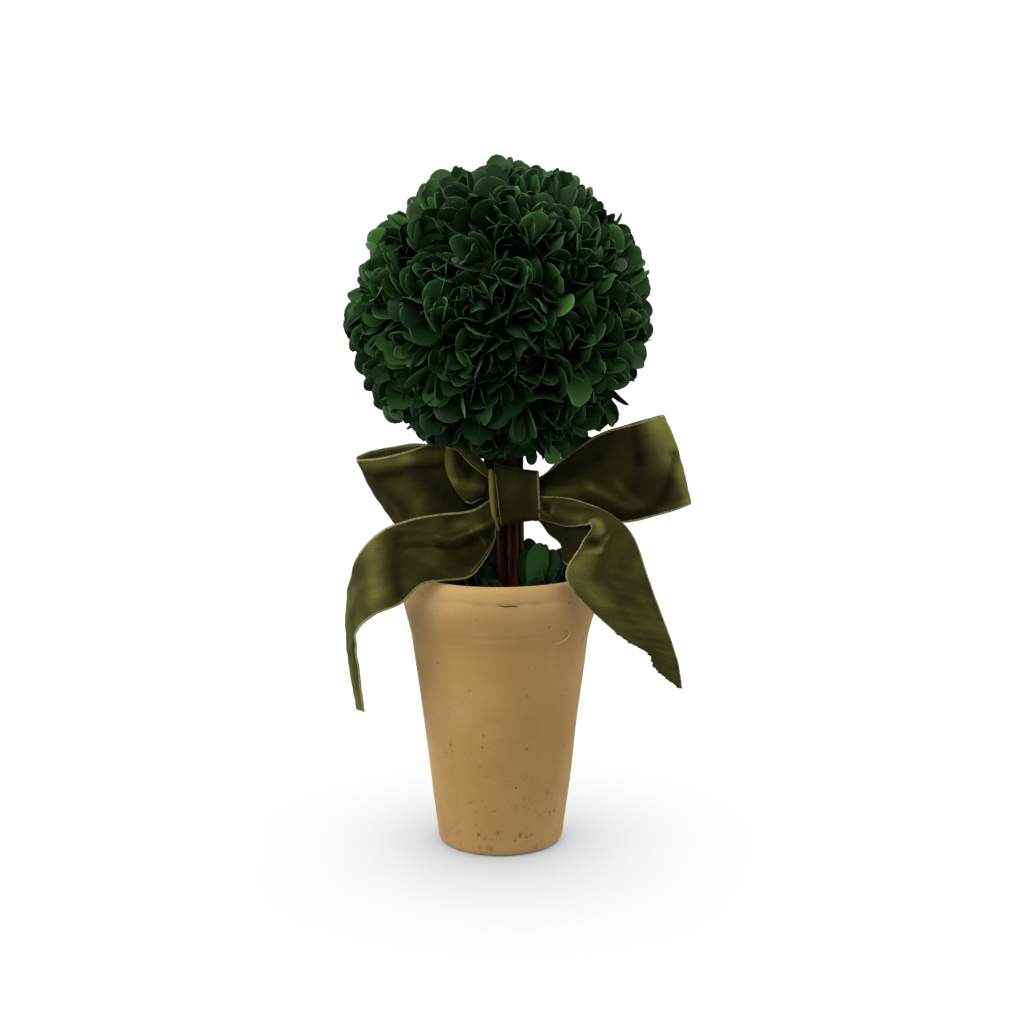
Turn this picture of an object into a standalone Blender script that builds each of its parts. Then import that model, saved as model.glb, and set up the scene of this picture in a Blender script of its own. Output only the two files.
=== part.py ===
"""Potted topiary of preserved boxwood: a clipped leaf ball on four bundled sticks, in a clay pot, with a velvet bow.

Lengths are metres, +Z is up and the front of the bow faces -Y. The origin is the middle of the pot's flat underside.
Each object is one piece of the real thing, and neighbouring pieces keep a small gap.
"""

import math
import random

import bmesh
import bpy
from mathutils import Matrix, Vector
from mathutils.bvhtree import BVHTree

SEED = 7
GAP = 0.0003

# Clay pot: a thrown cone with a flared, rolled rim.
POT_HEIGHT = 0.146
POT_BASE_RADIUS = 0.033
POT_TAPER = 0.122
POT_WALL = 0.006
POT_FLOOR = 0.008
RIM_START = 0.1195
RIM_RADIUS = 0.0518
POT_SEGMENTS = 40

# Dry fill in the pot, level with the lower part of the rim.
FILL_TOP = 0.128

# Four bundled sticks that carry the ball.
BUNDLE_X = 0.0051
BUNDLE_SPREAD = 0.0047
STEM_COUNT = 4
STEM_RADIUS = 0.003
STEM_TIP_SHARE = 0.9
STEM_CROOK = 0.00012
STEM_TOP = 0.245
STEM_HOLE_RADIUS = 0.0085

# Leaf ball: rosettes of leaves on a hidden core.
BALL_CENTRE = Vector((0.0004, 0, 0.2804))
CORE_RADIUS = 0.060
ROOT_DEPTH = 0.004
ROSETTE_COUNT = 96

# Boxwood leaf: its thickness at the middle, and its distance from whatever isn't a leaf.
LEAF_THICKNESS = 0.0008
LEAF_CLEARANCE = 0.0018
LEAF_TRIES = 10

# Tufts of leaves on the fill, round a small core each.
TUFT_CORE_RADIUS = 0.006
TUFT_LEAF_LENGTH = 0.0135
TUFT_LEAF_WIDTH = 0.011

# Velvet ribbon of the bow.
RIBBON_THICKNESS = 0.0012
RIBBON_ACROSS = 4
RIBBON_ALONG = 2
KNOT_CENTRE = Vector((0.0077, -0.0152, 0.1876))
KNOT_SIZE = Vector((0.0254, 0.0110, 0.0340))
KNOT_ROUNDING = 0.0022
KNOT_TILT = math.radians(-2)
RING_RADIUS = 0.0081
RING_LOW = 0.176
RING_HIGH = 0.203


def clear_scene():
    """Removes the startup objects."""
    for item in list(bpy.data.objects):
        bpy.data.objects.remove(item, do_unlink=True)


def plain_material(name, colour, roughness):
    """A Principled material of one colour."""
    material = bpy.data.materials.new(name)
    material.use_nodes = True
    shader = material.node_tree.nodes["Principled BSDF"]
    shader.inputs["Base Color"].default_value = (*colour, 1.0)
    shader.inputs["Roughness"].default_value = roughness
    shader.inputs["Metallic"].default_value = 0.0
    return material


def place(name, data, material, location=(0, 0, 0)):
    """Links an object with this mesh or curve to the scene."""
    node = bpy.data.objects.new(name, data)
    node.location = location
    if material:
        data.materials.append(material)
    bpy.context.scene.collection.objects.link(node)
    return node


def shape_of(node):
    """Points and faces of an object in world space, with its modifiers."""
    bpy.context.view_layer.update()
    evaluated = node.evaluated_get(bpy.context.evaluated_depsgraph_get())
    mesh = evaluated.to_mesh()
    points = [node.matrix_world @ vertex.co for vertex in mesh.vertices]
    faces = [tuple(face.vertices) for face in mesh.polygons]
    evaluated.to_mesh_clear()
    return points, faces


def turned(name, profile, material):
    """A piece turned on the Z axis from a profile that runs down its outer side."""
    mesh = bpy.data.meshes.new(name)
    points = [(radius, 0, height) for radius, height in profile]
    mesh.from_pydata(points, [(step, step + 1) for step in range(len(points) - 1)], [])
    node = place(name, mesh, material)
    spin = node.modifiers.new("turned", "SCREW")
    spin.steps = POT_SEGMENTS
    spin.render_steps = POT_SEGMENTS
    spin.use_merge_vertices = True
    spin.merge_threshold = 0.00001
    spin.use_smooth_shade = True
    return node


def outer_radius(height):
    """Radius of the pot's tapered outer wall below the rim."""
    return POT_BASE_RADIUS + POT_TAPER * height


def inner_radius(height):
    """Radius of the pot's hollow."""
    return outer_radius(height) - POT_WALL


def make_pot(material):
    """The clay pot, from the middle of its floor up over the lip and down to a rounded foot."""
    hollow = [(0, POT_FLOOR), (inner_radius(POT_FLOOR) - 0.003, POT_FLOOR)]
    hollow += [(inner_radius(height), height) for height in (POT_FLOOR + 0.003, 0.06, RIM_START, 0.14)]
    lip = [(RIM_RADIUS - 0.0066, POT_HEIGHT - 0.0016), (RIM_RADIUS - 0.0052, POT_HEIGHT - 0.0002)]
    lip += [(RIM_RADIUS - 0.0036, POT_HEIGHT), (RIM_RADIUS - 0.0022, POT_HEIGHT - 0.0008)]
    rim = [(RIM_RADIUS - 0.0012, 0.1434), (RIM_RADIUS - 0.0006, 0.140), (RIM_RADIUS - 0.0006, 0.1374)]
    rim += [(RIM_RADIUS, 0.134), (RIM_RADIUS - 0.0003, 0.1295), (RIM_RADIUS - 0.0019, 0.125)]
    wall = [(outer_radius(height), height) for height in (RIM_START, 0.095, 0.06, 0.02, 0.0026)]
    foot = [(POT_BASE_RADIUS - 0.0007, 0.0007), (POT_BASE_RADIUS - 0.0023, 0), (0, 0)]
    return turned("pot", hollow + lip + rim + wall + foot, material)


def make_fill(material):
    """The dry fill that holds the sticks, a little smaller than the hollow."""
    gap = GAP + 0.0001
    profile = [(0, FILL_TOP), (inner_radius(FILL_TOP) - gap - 0.0015, FILL_TOP)]
    profile += [(inner_radius(height) - gap, height) for height in (FILL_TOP - 0.0015, RIM_START, 0.06)]
    profile += [(inner_radius(POT_FLOOR + 0.003) - gap, POT_FLOOR + 0.003 + gap)]
    profile += [(inner_radius(POT_FLOOR) - 0.003 - gap, POT_FLOOR + GAP), (0, POT_FLOOR + GAP)]
    return turned("pot_fill", profile, material)


def make_stems(material):
    """The bundled sticks: tapered, slightly crooked, cut flat at the fill and inside the ball."""
    rng = random.Random(SEED)
    stems = []
    for number in range(STEM_COUNT):
        curve = bpy.data.curves.new(f"stem_{number + 1}", "CURVE")
        curve.dimensions = "3D"
        curve.bevel_depth = STEM_RADIUS
        curve.bevel_resolution = 2
        curve.use_fill_caps = True
        spline = curve.splines.new("POLY")
        spline.points.add(4)
        for level, point in enumerate(spline.points):
            share = level / 4
            height = (STEM_TOP - FILL_TOP - GAP) * share
            point.co = (rng.uniform(-1, 1) * STEM_CROOK, rng.uniform(-1, 1) * STEM_CROOK, height, 1)
            point.radius = 1 - (1 - STEM_TIP_SHARE) * share
        turn = math.radians(20) + 2 * math.pi * number / STEM_COUNT
        foot = (BUNDLE_X + BUNDLE_SPREAD * math.cos(turn), BUNDLE_SPREAD * math.sin(turn), FILL_TOP + GAP)
        stems.append(place(curve.name, curve, material, foot))
    return stems


def smooth_edge(stations):
    """A Catmull-Rom curve through an edge's stations, which are millimetres from the origin."""
    points = [Vector(station) / 1000 for station in stations]
    points = [2 * points[0] - points[1], *points, 2 * points[-1] - points[-2]]
    edge = []
    for before, start, end, after in zip(points, points[1:], points[2:], points[3:]):
        for step in range(RIBBON_ALONG):
            t = step / RIBBON_ALONG
            linear = (end - before) * t
            square = (2 * before - 5 * start + 4 * end - after) * t * t
            cube = (3 * start - before - 3 * end + after) * t * t * t
            edge.append(start + (linear + square + cube) / 2)
    edge.append(points[-2])
    return edge


def make_ribbon(name, stations, belly, facing, material):
    """A length of ribbon between its top and bottom edges, each station a pair of points on them.

    The sheet swells by the belly towards the side it faces, except at its two ends, and a Solidify modifier gives it
    its thickness.
    """
    top = smooth_edge([station[0] for station in stations])
    bottom = smooth_edge([station[1] for station in stations])
    rows = len(top)
    columns = RIBBON_ACROSS + 1
    points = []
    for row in range(rows):
        along = (top[min(row + 1, rows - 1)] + bottom[min(row + 1, rows - 1)]) / 2
        along -= (top[max(row - 1, 0)] + bottom[max(row - 1, 0)]) / 2
        outward = along.cross(top[row] - bottom[row]).normalized() * facing
        travelled = row / (rows - 1)
        swell = belly * min(1, 8 * travelled * (1 - travelled))
        for column in range(columns):
            share = column / RIBBON_ACROSS
            points.append(bottom[row].lerp(top[row], share) + outward * swell * 4 * share * (1 - share))
    faces = []
    for row in range(rows - 1):
        for column in range(columns - 1):
            corner = row * columns + column
            faces.append((corner, corner + columns, corner + columns + 1, corner + 1))
    mesh = bpy.data.meshes.new(name)
    mesh.from_pydata(points, [], faces)
    mesh.shade_smooth()
    node = place(name, mesh, material)
    cloth = node.modifiers.new("cloth", "SOLIDIFY")
    cloth.thickness = RIBBON_THICKNESS
    cloth.offset = 0
    cloth.use_even_offset = True
    return node


def make_loop_right(material):
    """The right loop, out along its front layer and back along its rear one."""
    stations = [
        ((20.7, -13.2, 197.4), (21.4, -13.2, 177.0)),
        ((31.7, -16, 206.6), (38.4, -20, 174.6)),
        ((51.4, -20, 220.4), (63.7, -25, 174.8)),
        ((69.4, -17, 225.2), (85.5, -20, 179.2)),
        ((81.6, -7.5, 228.0), (97.2, -8, 181.2)),
        ((83.8, -1, 228.0), (99.0, -0.5, 181.0)),
        ((80.0, 3, 226.6), (95.0, 4, 179.4)),
        ((68.0, 4.5, 223.0), (80.0, 5.5, 175.4)),
        ((50.0, 4.5, 216.8), (60.0, 4.5, 172.0)),
        ((33.0, 1.5, 206.0), (38.0, 0, 172.8)),
        ((22.6, -8, 197.4), (22.6, -8, 177.2)),
    ]
    return make_ribbon("bow_loop_right", stations, 0.002, 1, material)


def make_loop_left(material):
    """The left loop, whose mouth is open at the top."""
    stations = [
        ((-6.0, -13.2, 197.3), (-5.3, -13.2, 175.6)),
        ((-19.4, -18, 211.5), (-18.1, -18, 171.1)),
        ((-30.5, -21, 216.4), (-30.8, -22, 167.6)),
        ((-46.7, -23, 211.5), (-42.3, -18, 165.9)),
        ((-59.7, -20, 208.1), (-48.6, -13, 165.2)),
        ((-71.6, -11.5, 205.8), (-52.0, -7, 165.0)),
        ((-74.2, -4, 206.0), (-53.0, -1.5, 164.6)),
        ((-67.5, 4, 208.4), (-49.5, 4, 164.2)),
        ((-55.6, 8, 210.3), (-42.6, 6.5, 164.3)),
        ((-42.4, 8, 211.9), (-32.1, 7, 166.3)),
        ((-23.8, 3, 208.2), (-18.7, 2, 170.1)),
        ((-7.8, -8, 199.0), (-7.8, -8, 175.9)),
    ]
    return make_ribbon("bow_loop_left", stations, 0.002, -1, material)


def make_pleat_left(material):
    """The inner fold that stands in front of the left loop, beside the knot."""
    stations = [
        ((-6.1, -15.8, 198.2), (-5.8, -15.8, 188.6)),
        ((-13.0, -20.6, 205.6), (-10.8, -19.6, 187.0)),
        ((-20.2, -24.4, 211.8), (-14.4, -22.4, 185.8)),
        ((-27.6, -26.2, 214.4), (-18.4, -24.6, 188.4)),
    ]
    return make_ribbon("bow_pleat_left", stations, 0.0012, -1, material)


def make_tail_left(material):
    """The left tail: over the rim of the pot, folded over and hanging with its edge to the front."""
    stations = [
        ((-5.8, -17.8, 185.6), (-5.4, -17.8, 171.8)),
        ((-15.2, -28.0, 181.8), (-7.6, -29, 160.5)),
        ((-31.7, -33, 180.6), (-14.6, -37, 149.9)),
        ((-46.1, -37, 178.2), (-28.5, -42, 149.0)),
        ((-59.5, -39, 172.9), (-39.3, -44.5, 146.2)),
        ((-71.5, -36, 160.2), (-49.0, -46, 137.2)),
        ((-77.6, -24, 143.5), (-62.8, -47, 131.2)),
        ((-79.4, -8, 128.2), (-71.4, -44.5, 122.6)),
        ((-80.7, 2, 113.0), (-72.2, -43, 113.4)),
        ((-79.6, 4, 92.3), (-71.0, -42, 96.0)),
        ((-77.4, 3, 74.6), (-69.4, -40.5, 79.6)),
    ]
    return make_ribbon("bow_tail_left", stations, 0.0024, -1, material)


def make_tail_right(material):
    """The right tail: over a hip, then down to a slanted cut."""
    stations = [
        ((21.1, -17.8, 187.6), (21.6, -17.8, 175.2)),
        ((37.0, -28, 187.6), (34.0, -29, 173.5)),
        ((55.2, -37, 181.4), (45.5, -41, 175.4)),
        ((67.2, -40, 169.7), (40.2, -46, 167.0)),
        ((74.9, -41, 148.3), (33.4, -48, 148.8)),
        ((84.4, -42, 122.9), (60.2, -46, 123.2)),
        ((91.8, -41, 94.0), (88.6, -42, 95.6)),
    ]
    return make_ribbon("bow_tail_right", stations, 0.0024, 1, material)


def make_knot(material):
    """The wrapped knot: a rounded block that tilts a little."""
    mesh = bpy.data.meshes.new("bow_knot")
    shape = bmesh.new()
    bmesh.ops.create_cube(shape, size=1)
    bmesh.ops.scale(shape, vec=KNOT_SIZE, verts=shape.verts)
    shape.to_mesh(mesh)
    shape.free()
    knot = place("bow_knot", mesh, material, KNOT_CENTRE)
    knot.rotation_euler.y = KNOT_TILT
    edge = knot.modifiers.new("round", "BEVEL")
    edge.width = KNOT_ROUNDING
    edge.segments = 3
    return knot


def make_ring(material):
    """The band of ribbon round the sticks, behind the knot."""
    mesh = bpy.data.meshes.new("bow_ring")
    shape = bmesh.new()
    bmesh.ops.create_circle(shape, segments=24, radius=RING_RADIUS)
    band = bmesh.ops.extrude_edge_only(shape, edges=shape.edges)["geom"]
    raised = [item for item in band if isinstance(item, bmesh.types.BMVert)]
    bmesh.ops.translate(shape, vec=(0, 0, RING_HIGH - RING_LOW), verts=raised)
    bmesh.ops.recalc_face_normals(shape, faces=shape.faces)
    shape.to_mesh(mesh)
    shape.free()
    ring = place("bow_ring", mesh, material, (BUNDLE_X, 0, RING_LOW))
    cloth = ring.modifiers.new("cloth", "SOLIDIFY")
    cloth.thickness = RIBBON_THICKNESS
    cloth.offset = 1
    return ring


def leaf_mesh():
    """A boxwood leaf one metre long and one wide: narrow root, round shoulders, blunt tip and raised middle."""
    outline = ((0, 0), (0.55, 0.5), (0.94, 0.30), (0.94, -0.30), (0.55, -0.5))
    points = [(along, across, 0) for along, across in outline]
    points.append((0.58, 0, 1))
    faces = [(0, 1, 4), (1, 3, 4), (1, 2, 3)]
    faces += [((corner + 1) % 5, corner, 5) for corner in range(5)]
    mesh = bpy.data.meshes.new("leaf")
    mesh.from_pydata(points, [], faces)
    shape = bmesh.new()
    shape.from_mesh(mesh)
    bmesh.ops.recalc_face_normals(shape, faces=shape.faces)
    shape.to_mesh(mesh)
    shape.free()
    return mesh


def even_directions(count, rng):
    """Directions spread evenly on a golden spiral, each moved a little."""
    golden = math.pi * (3 - math.sqrt(5))
    directions = []
    for number in range(count):
        height = 1 - 2 * (number + 0.5) / count
        reach = math.sqrt(1 - height * height)
        direction = Vector((reach * math.cos(golden * number), reach * math.sin(golden * number), height))
        moved = Vector((rng.uniform(-1, 1), rng.uniform(-1, 1), rng.uniform(-1, 1)))
        directions.append((direction + moved * 0.07).normalized())
    return directions


class Foliage:
    """The leaves of one mass, which keep clear of the obstacles and of one another."""

    def __init__(self, seed, obstacles):
        self.rng = random.Random(seed)
        self.leaf = leaf_mesh()
        self.obstacles = [BVHTree.FromPolygons(*shape_of(node)) for node in obstacles]
        self.blades = []
        self.pieces = bpy.data.collections.new("leaves")
        bpy.context.scene.collection.children.link(self.pieces)

    def is_free(self, points, blade):
        """Whether a leaf keeps its clearance from the obstacles and cuts no other leaf."""
        middle = sum(points, Vector()) / len(points)
        probes = [*points, middle, *(point.lerp(middle, 0.5) for point in points)]
        for tree in self.obstacles:
            if min(tree.find_nearest(probe)[3] for probe in probes) < LEAF_CLEARANCE:
                return False
        reach = 2 * max((point - middle).length for point in points)
        near = [other for place_of, other in self.blades if (place_of - middle).length < reach]
        if any(blade.overlap(other) for other in near):
            return False
        self.blades.append((middle, blade))
        return True

    def add_leaf(self, root, along, across, length, width):
        """Places one leaf if it is free there, and tells whether it was."""
        turn = Matrix((along, across, along.cross(across))).transposed().to_4x4()
        size = Matrix.Diagonal((length, width, LEAF_THICKNESS, 1))
        matrix = Matrix.Translation(root) @ turn @ size
        points = [matrix @ vertex.co for vertex in self.leaf.vertices]
        blade = BVHTree.FromPolygons(points, [tuple(face.vertices) for face in self.leaf.polygons])
        if not self.is_free(points, blade):
            return False
        leaf = bpy.data.objects.new("leaf", self.leaf)
        leaf.matrix_world = matrix
        self.pieces.objects.link(leaf)
        return True

    def add_rosette(self, root, axis, leaf_rows):
        """Crossed pairs of leaves that open round one axis.

        Each row holds how far from the axis its pair is rooted, its spread in degrees, and the leaves' length and
        width. A leaf is tried at a few turns, and skipped where none of them is free.
        """
        roll = self.rng.uniform(0, math.pi)
        side = axis.orthogonal().normalized()
        for row, (offset, spread, length, width) in enumerate(leaf_rows):
            for turn in (0, math.pi):
                for _ in range(LEAF_TRIES):
                    angle = roll + row * math.pi / 2 + turn + self.rng.uniform(-0.5, 0.5)
                    out = Matrix.Rotation(angle, 3, axis) @ side
                    lean = math.radians(spread + self.rng.uniform(-8, 8))
                    along = axis * math.cos(lean) + out * math.sin(lean)
                    twist = Matrix.Rotation(self.rng.uniform(-0.5, 0.5), 3, along)
                    across = (twist @ axis.cross(out)).normalized()
                    size = self.rng.uniform(0.92, 1.03)
                    if self.add_leaf(root + out * offset, along, across, length * size, width * size):
                        break

    def fuse_into(self, core, name):
        """Joins every leaf to the core by one union, and removes the loose leaves."""
        union = core.modifiers.new("union", "BOOLEAN")
        union.operand_type = "COLLECTION"
        union.operation = "UNION"
        union.solver = "MANIFOLD"
        union.collection = self.pieces
        apply_modifiers(core)
        for leaf in list(self.pieces.objects):
            bpy.data.objects.remove(leaf, do_unlink=True)
        bpy.data.collections.remove(self.pieces)
        keep_largest_piece(core.data)
        core.name = name
        return core


def apply_modifiers(node):
    """Replaces a mesh by the one that its modifiers make."""
    bpy.context.view_layer.update()
    evaluated = node.evaluated_get(bpy.context.evaluated_depsgraph_get())
    mesh = bpy.data.meshes.new_from_object(evaluated)
    material = node.data.materials[0]
    node.modifiers.clear()
    node.data = mesh
    mesh.materials.clear()
    mesh.materials.append(material)


def keep_largest_piece(mesh):
    """Drops loose scraps and the walls of sealed hollows."""
    shape = bmesh.new()
    shape.from_mesh(mesh)
    waiting = set(shape.verts)
    pieces = []
    while waiting:
        border = [waiting.pop()]
        piece = set(border)
        while border:
            for edge in border.pop().link_edges:
                found = {vertex for vertex in edge.verts if vertex not in piece}
                piece |= found
                border.extend(found)
        waiting -= piece
        pieces.append(piece)
    pieces.sort(key=len)
    for piece in pieces[:-1]:
        bmesh.ops.delete(shape, geom=list(piece), context="VERTS")
    shape.to_mesh(mesh)
    shape.free()


def bored_core(material):
    """The hidden heart of the ball, with the hole that takes the sticks."""
    mesh = bpy.data.meshes.new("core")
    shape = bmesh.new()
    bmesh.ops.create_uvsphere(shape, u_segments=18, v_segments=10, radius=CORE_RADIUS)
    shape.to_mesh(mesh)
    shape.free()
    core = place("core", mesh, material, BALL_CENTRE)
    drill_mesh = bpy.data.meshes.new("drill")
    shape = bmesh.new()
    length = 2 * CORE_RADIUS
    bmesh.ops.create_cone(
        shape, cap_ends=True, segments=16, radius1=STEM_HOLE_RADIUS, radius2=STEM_HOLE_RADIUS, depth=length
    )
    shape.to_mesh(drill_mesh)
    shape.free()
    drill = place("drill", drill_mesh, None, (BUNDLE_X, 0, STEM_TOP + GAP - length / 2))
    hole = core.modifiers.new("hole", "BOOLEAN")
    hole.operation = "DIFFERENCE"
    hole.object = drill
    apply_modifiers(core)
    bpy.data.objects.remove(drill, do_unlink=True)
    return core


def make_ball(material, obstacles):
    """The clipped leaf ball: rosettes rooted in the core, whose leaves all end near one radius."""
    foliage = Foliage(SEED, obstacles)
    leaf_rows = [(0.0045, 36, 0.0257, 0.0135), (0.0030, 22, 0.0242, 0.0130), (0.0015, 9, 0.0232, 0.0120)]
    for direction in even_directions(ROSETTE_COUNT, foliage.rng):
        foliage.add_rosette(BALL_CENTRE + direction * (CORE_RADIUS - ROOT_DEPTH), direction, leaf_rows)
    return foliage.fuse_into(bored_core(material), "foliage_ball")


def make_tuft(number, foot, lean, height, material, obstacles):
    """A short bunch of leaves that stands on the fill beside the sticks, round a core of its own."""
    foliage = Foliage(SEED * 100 + number, obstacles)
    core_height = height - TUFT_LEAF_LENGTH
    mesh = bpy.data.meshes.new("tuft_core")
    shape = bmesh.new()
    bmesh.ops.create_cone(
        shape, cap_ends=True, segments=7, radius1=TUFT_CORE_RADIUS, radius2=TUFT_CORE_RADIUS / 2, depth=core_height
    )
    bmesh.ops.translate(shape, vec=(0, 0, core_height / 2), verts=shape.verts)
    for vertex in shape.verts:
        vertex.co.xy += Vector(lean) * vertex.co.z
    shape.to_mesh(mesh)
    shape.free()
    base = Vector((*foot, FILL_TOP + GAP))
    core = place("tuft_core", mesh, material, base)
    slope = Vector((*lean, 1))
    crown = [(0.0015, 34, TUFT_LEAF_LENGTH, TUFT_LEAF_WIDTH), (0.001, 12, TUFT_LEAF_LENGTH, TUFT_LEAF_WIDTH)]
    foliage.add_rosette(base + slope * (core_height - 0.002), slope.normalized(), crown)
    for level, tilt in ((0.45, 0.75), (0.2, 1.1)):
        turn = foliage.rng.uniform(0, 1)
        for branch in range(5):
            angle = turn + 2 * math.pi * branch / 5
            spoke = Vector((math.cos(angle), math.sin(angle), 0))
            root = base + slope * core_height * level + spoke * 0.002
            axis = (spoke * tilt + Vector((0, 0, 1))).normalized()
            foliage.add_rosette(root, axis, [(0.0006, 10, TUFT_LEAF_LENGTH, TUFT_LEAF_WIDTH)])
    return foliage.fuse_into(core, f"base_tuft_{number}")


def make_tufts(material, obstacles):
    """The tufts round the sticks, each with its foot, its lean and its height above the fill."""
    feet = [((0.024, -0.003), (0.22, 0), 0.030), ((-0.012, -0.003), (-0.12, 0), 0.027)]
    feet += [((0.017, 0.020), (0.15, 0.2), 0.027), ((-0.013, 0.017), (-0.15, 0.2), 0.025)]
    feet += [((0.003, -0.020), (0, -0.1), 0.0185)]
    tufts = []
    for number, (foot, lean, height) in enumerate(feet, 1):
        tufts.append(make_tuft(number, foot, lean, height, material, obstacles + tufts))


def main():
    """Builds every piece."""
    clear_scene()
    clay = plain_material("clay", (0.36, 0.215, 0.080), 0.85)
    fill = plain_material("fill", (0.035, 0.030, 0.018), 0.95)
    bark = plain_material("bark", (0.030, 0.010, 0.006), 0.75)
    leaf = plain_material("leaf", (0.014, 0.050, 0.014), 0.60)
    velvet = plain_material("velvet", (0.052, 0.050, 0.011), 0.80)

    pot = make_pot(clay)
    make_fill(fill)
    stems = make_stems(bark)
    bow = [make_loop_right(velvet), make_loop_left(velvet), make_pleat_left(velvet)]
    bow += [make_tail_left(velvet), make_tail_right(velvet), make_knot(velvet), make_ring(velvet)]
    make_ball(leaf, stems + bow)
    make_tufts(leaf, stems + bow + [pot])


main()
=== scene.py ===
"""Looks of the potted boxwood topiary: leaf ball, bundled sticks, clay pot and velvet bow.

Lengths are metres, +Z is up and the front of the bow faces -Y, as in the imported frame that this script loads.
Every new piece is a surface worked out with numpy, as a grid over two parameters or a profile along a path.
"""

from __future__ import annotations

import logging
import math
from collections.abc import Sequence
from dataclasses import dataclass, fields
from enum import Enum, IntEnum, StrEnum

import bpy
import numpy as np
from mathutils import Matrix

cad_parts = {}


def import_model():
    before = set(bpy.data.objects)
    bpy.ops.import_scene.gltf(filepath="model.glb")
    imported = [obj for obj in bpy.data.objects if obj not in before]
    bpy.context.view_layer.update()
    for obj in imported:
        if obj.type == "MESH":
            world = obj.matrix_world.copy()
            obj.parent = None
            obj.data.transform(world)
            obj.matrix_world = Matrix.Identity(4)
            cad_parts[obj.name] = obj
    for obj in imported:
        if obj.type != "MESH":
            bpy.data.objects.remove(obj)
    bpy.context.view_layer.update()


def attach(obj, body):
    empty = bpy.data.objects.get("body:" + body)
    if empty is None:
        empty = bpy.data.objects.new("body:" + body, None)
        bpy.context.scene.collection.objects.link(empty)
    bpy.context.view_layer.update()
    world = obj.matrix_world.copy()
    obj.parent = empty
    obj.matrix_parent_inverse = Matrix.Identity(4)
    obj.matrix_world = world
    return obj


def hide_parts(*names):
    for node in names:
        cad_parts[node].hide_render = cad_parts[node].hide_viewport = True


Array = np.ndarray
Faces = list[tuple[Array, int]]
Colour = tuple[float, float, float]
Place = tuple[float, float, float]
Pair = tuple[float, float]
Pairs = tuple[Pair, ...]
Material = bpy.types.Material
Socket = bpy.types.NodeSocket
Value = Socket | float | Colour

LOG = logging.getLogger("topiary")
BODY = "root"
MM = 0.001
ODD_LEAVES = 0.033
SHARP_ANGLE = 52
X_AXIS = (1.0, 0.0, 0.0)
Z_AXIS = (0.0, 0.0, 1.0)


class Slot(StrEnum):
    """Material slots that the record names."""

    CLAY = "clay"
    FILL = "fill"
    BARK = "bark"
    LEAVES = "leaves"
    VELVET = "velvet"


# Shapes as arrays


@dataclass
class Shell:
    """A surface as arrays, before it becomes a mesh.

    Each group holds faces with one count of corners and the number of the finish that they take. The flow is
    each point's place along and across the piece, and the tone is one number a point for its material.
    """

    points: Array
    groups: Faces
    flow: Array | None = None
    tone: Array | None = None

    def triangle_count(self) -> int:
        """Number of triangles that the faces make."""
        return sum(len(faces) * (faces.shape[1] - 2) for faces, _ in self.groups)

    def turned_outwards(self) -> Shell:
        """This closed surface with its faces pointing out.

        The volume is the sum over the faces of the triple product of three corners, and it is negative where
        the surface is inside out.

        Returns:
            The same surface, with every face reversed if the volume was negative.
        """
        volume = 0.0
        for faces, _ in self.groups:
            corners = self.points[faces]
            for last in range(2, faces.shape[1]):
                volume += np.linalg.det(corners[:, [0, last - 1, last]]).sum()
        if volume < 0:
            self.groups = [(faces[:, ::-1], finish) for faces, finish in self.groups]
        return self


def joined(shells: Sequence[Shell]) -> Shell:
    """Several surfaces as one.

    Args:
        shells: The surfaces, each with a flow and a tone.

    Returns:
        One surface that holds the points and the faces of all.
    """
    groups = []
    offset = 0
    for shell in shells:
        groups += [(faces + offset, finish) for faces, finish in shell.groups]
        offset += len(shell.points)
    flow = np.concatenate([shell.flow for shell in shells])
    tone = np.concatenate([shell.tone for shell in shells])
    return Shell(np.concatenate([shell.points for shell in shells]), groups, flow, tone)


def grid_quads(rows: int, columns: int, closed_rows: bool = False, closed_columns: bool = False) -> Array:
    """Corners of the quads between the points of a grid, which are numbered row by row.

    Args:
        rows: Number of rows of points.
        columns: Number of points in a row.
        closed_rows: Whether the last row joins the first.
        closed_columns: Whether each row's last point joins its first.

    Returns:
        An array with four point numbers for each quad.
    """
    row, column = np.indices((rows if closed_rows else rows - 1, columns if closed_columns else columns - 1))
    next_row = (row + 1) % rows
    next_column = (column + 1) % columns
    corners = (row * columns + column, row * columns + next_column)
    corners += (next_row * columns + next_column, next_row * columns + column)
    return np.stack(corners, axis=-1).reshape(-1, 4)


def ringed(rows: int, columns: int, finish: int = 0) -> Faces:
    """Faces between rings of points, numbered ring by ring, and over the first and the last ring.

    Args:
        rows: Number of rings.
        columns: Number of points in a ring.
        finish: Number of the finish that the faces take.

    Returns:
        The quads, the face over the first ring and the face over the last.
    """
    ring = np.arange(columns)[None]
    last = ring + (rows - 1) * columns
    return [(grid_quads(rows, columns, closed_columns=True), finish), (ring[:, ::-1], finish), (last, finish)]


def smooth_path(stations: Array, count: int) -> Array:
    """A Catmull-Rom curve through stations of any shape, at even steps between them.

    Between two stations the place is a cubic in the share travelled, whose slope at each station is half the
    step from the station before it to the one after it.

    Args:
        stations: Array whose first axis runs over the stations.
        count: Number of places wanted.

    Returns:
        The places, with the other axes as they were.
    """
    ends = (2 * stations[0] - stations[1], 2 * stations[-1] - stations[-2])
    padded = np.concatenate([ends[0][None], stations, ends[1][None]])
    travelled = np.linspace(0, len(stations) - 1, count)
    number = np.minimum(travelled.astype(int), len(stations) - 2)
    share = (travelled - number).reshape(-1, *([1] * (stations.ndim - 1)))
    before, start, end, after = (padded[number + step] for step in range(4))
    linear = (end - before) * share
    square = (2 * before - 5 * start + 4 * end - after) * share**2
    cube = (3 * start - before - 3 * end + after) * share**3
    return start + (linear + square + cube) / 2


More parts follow.
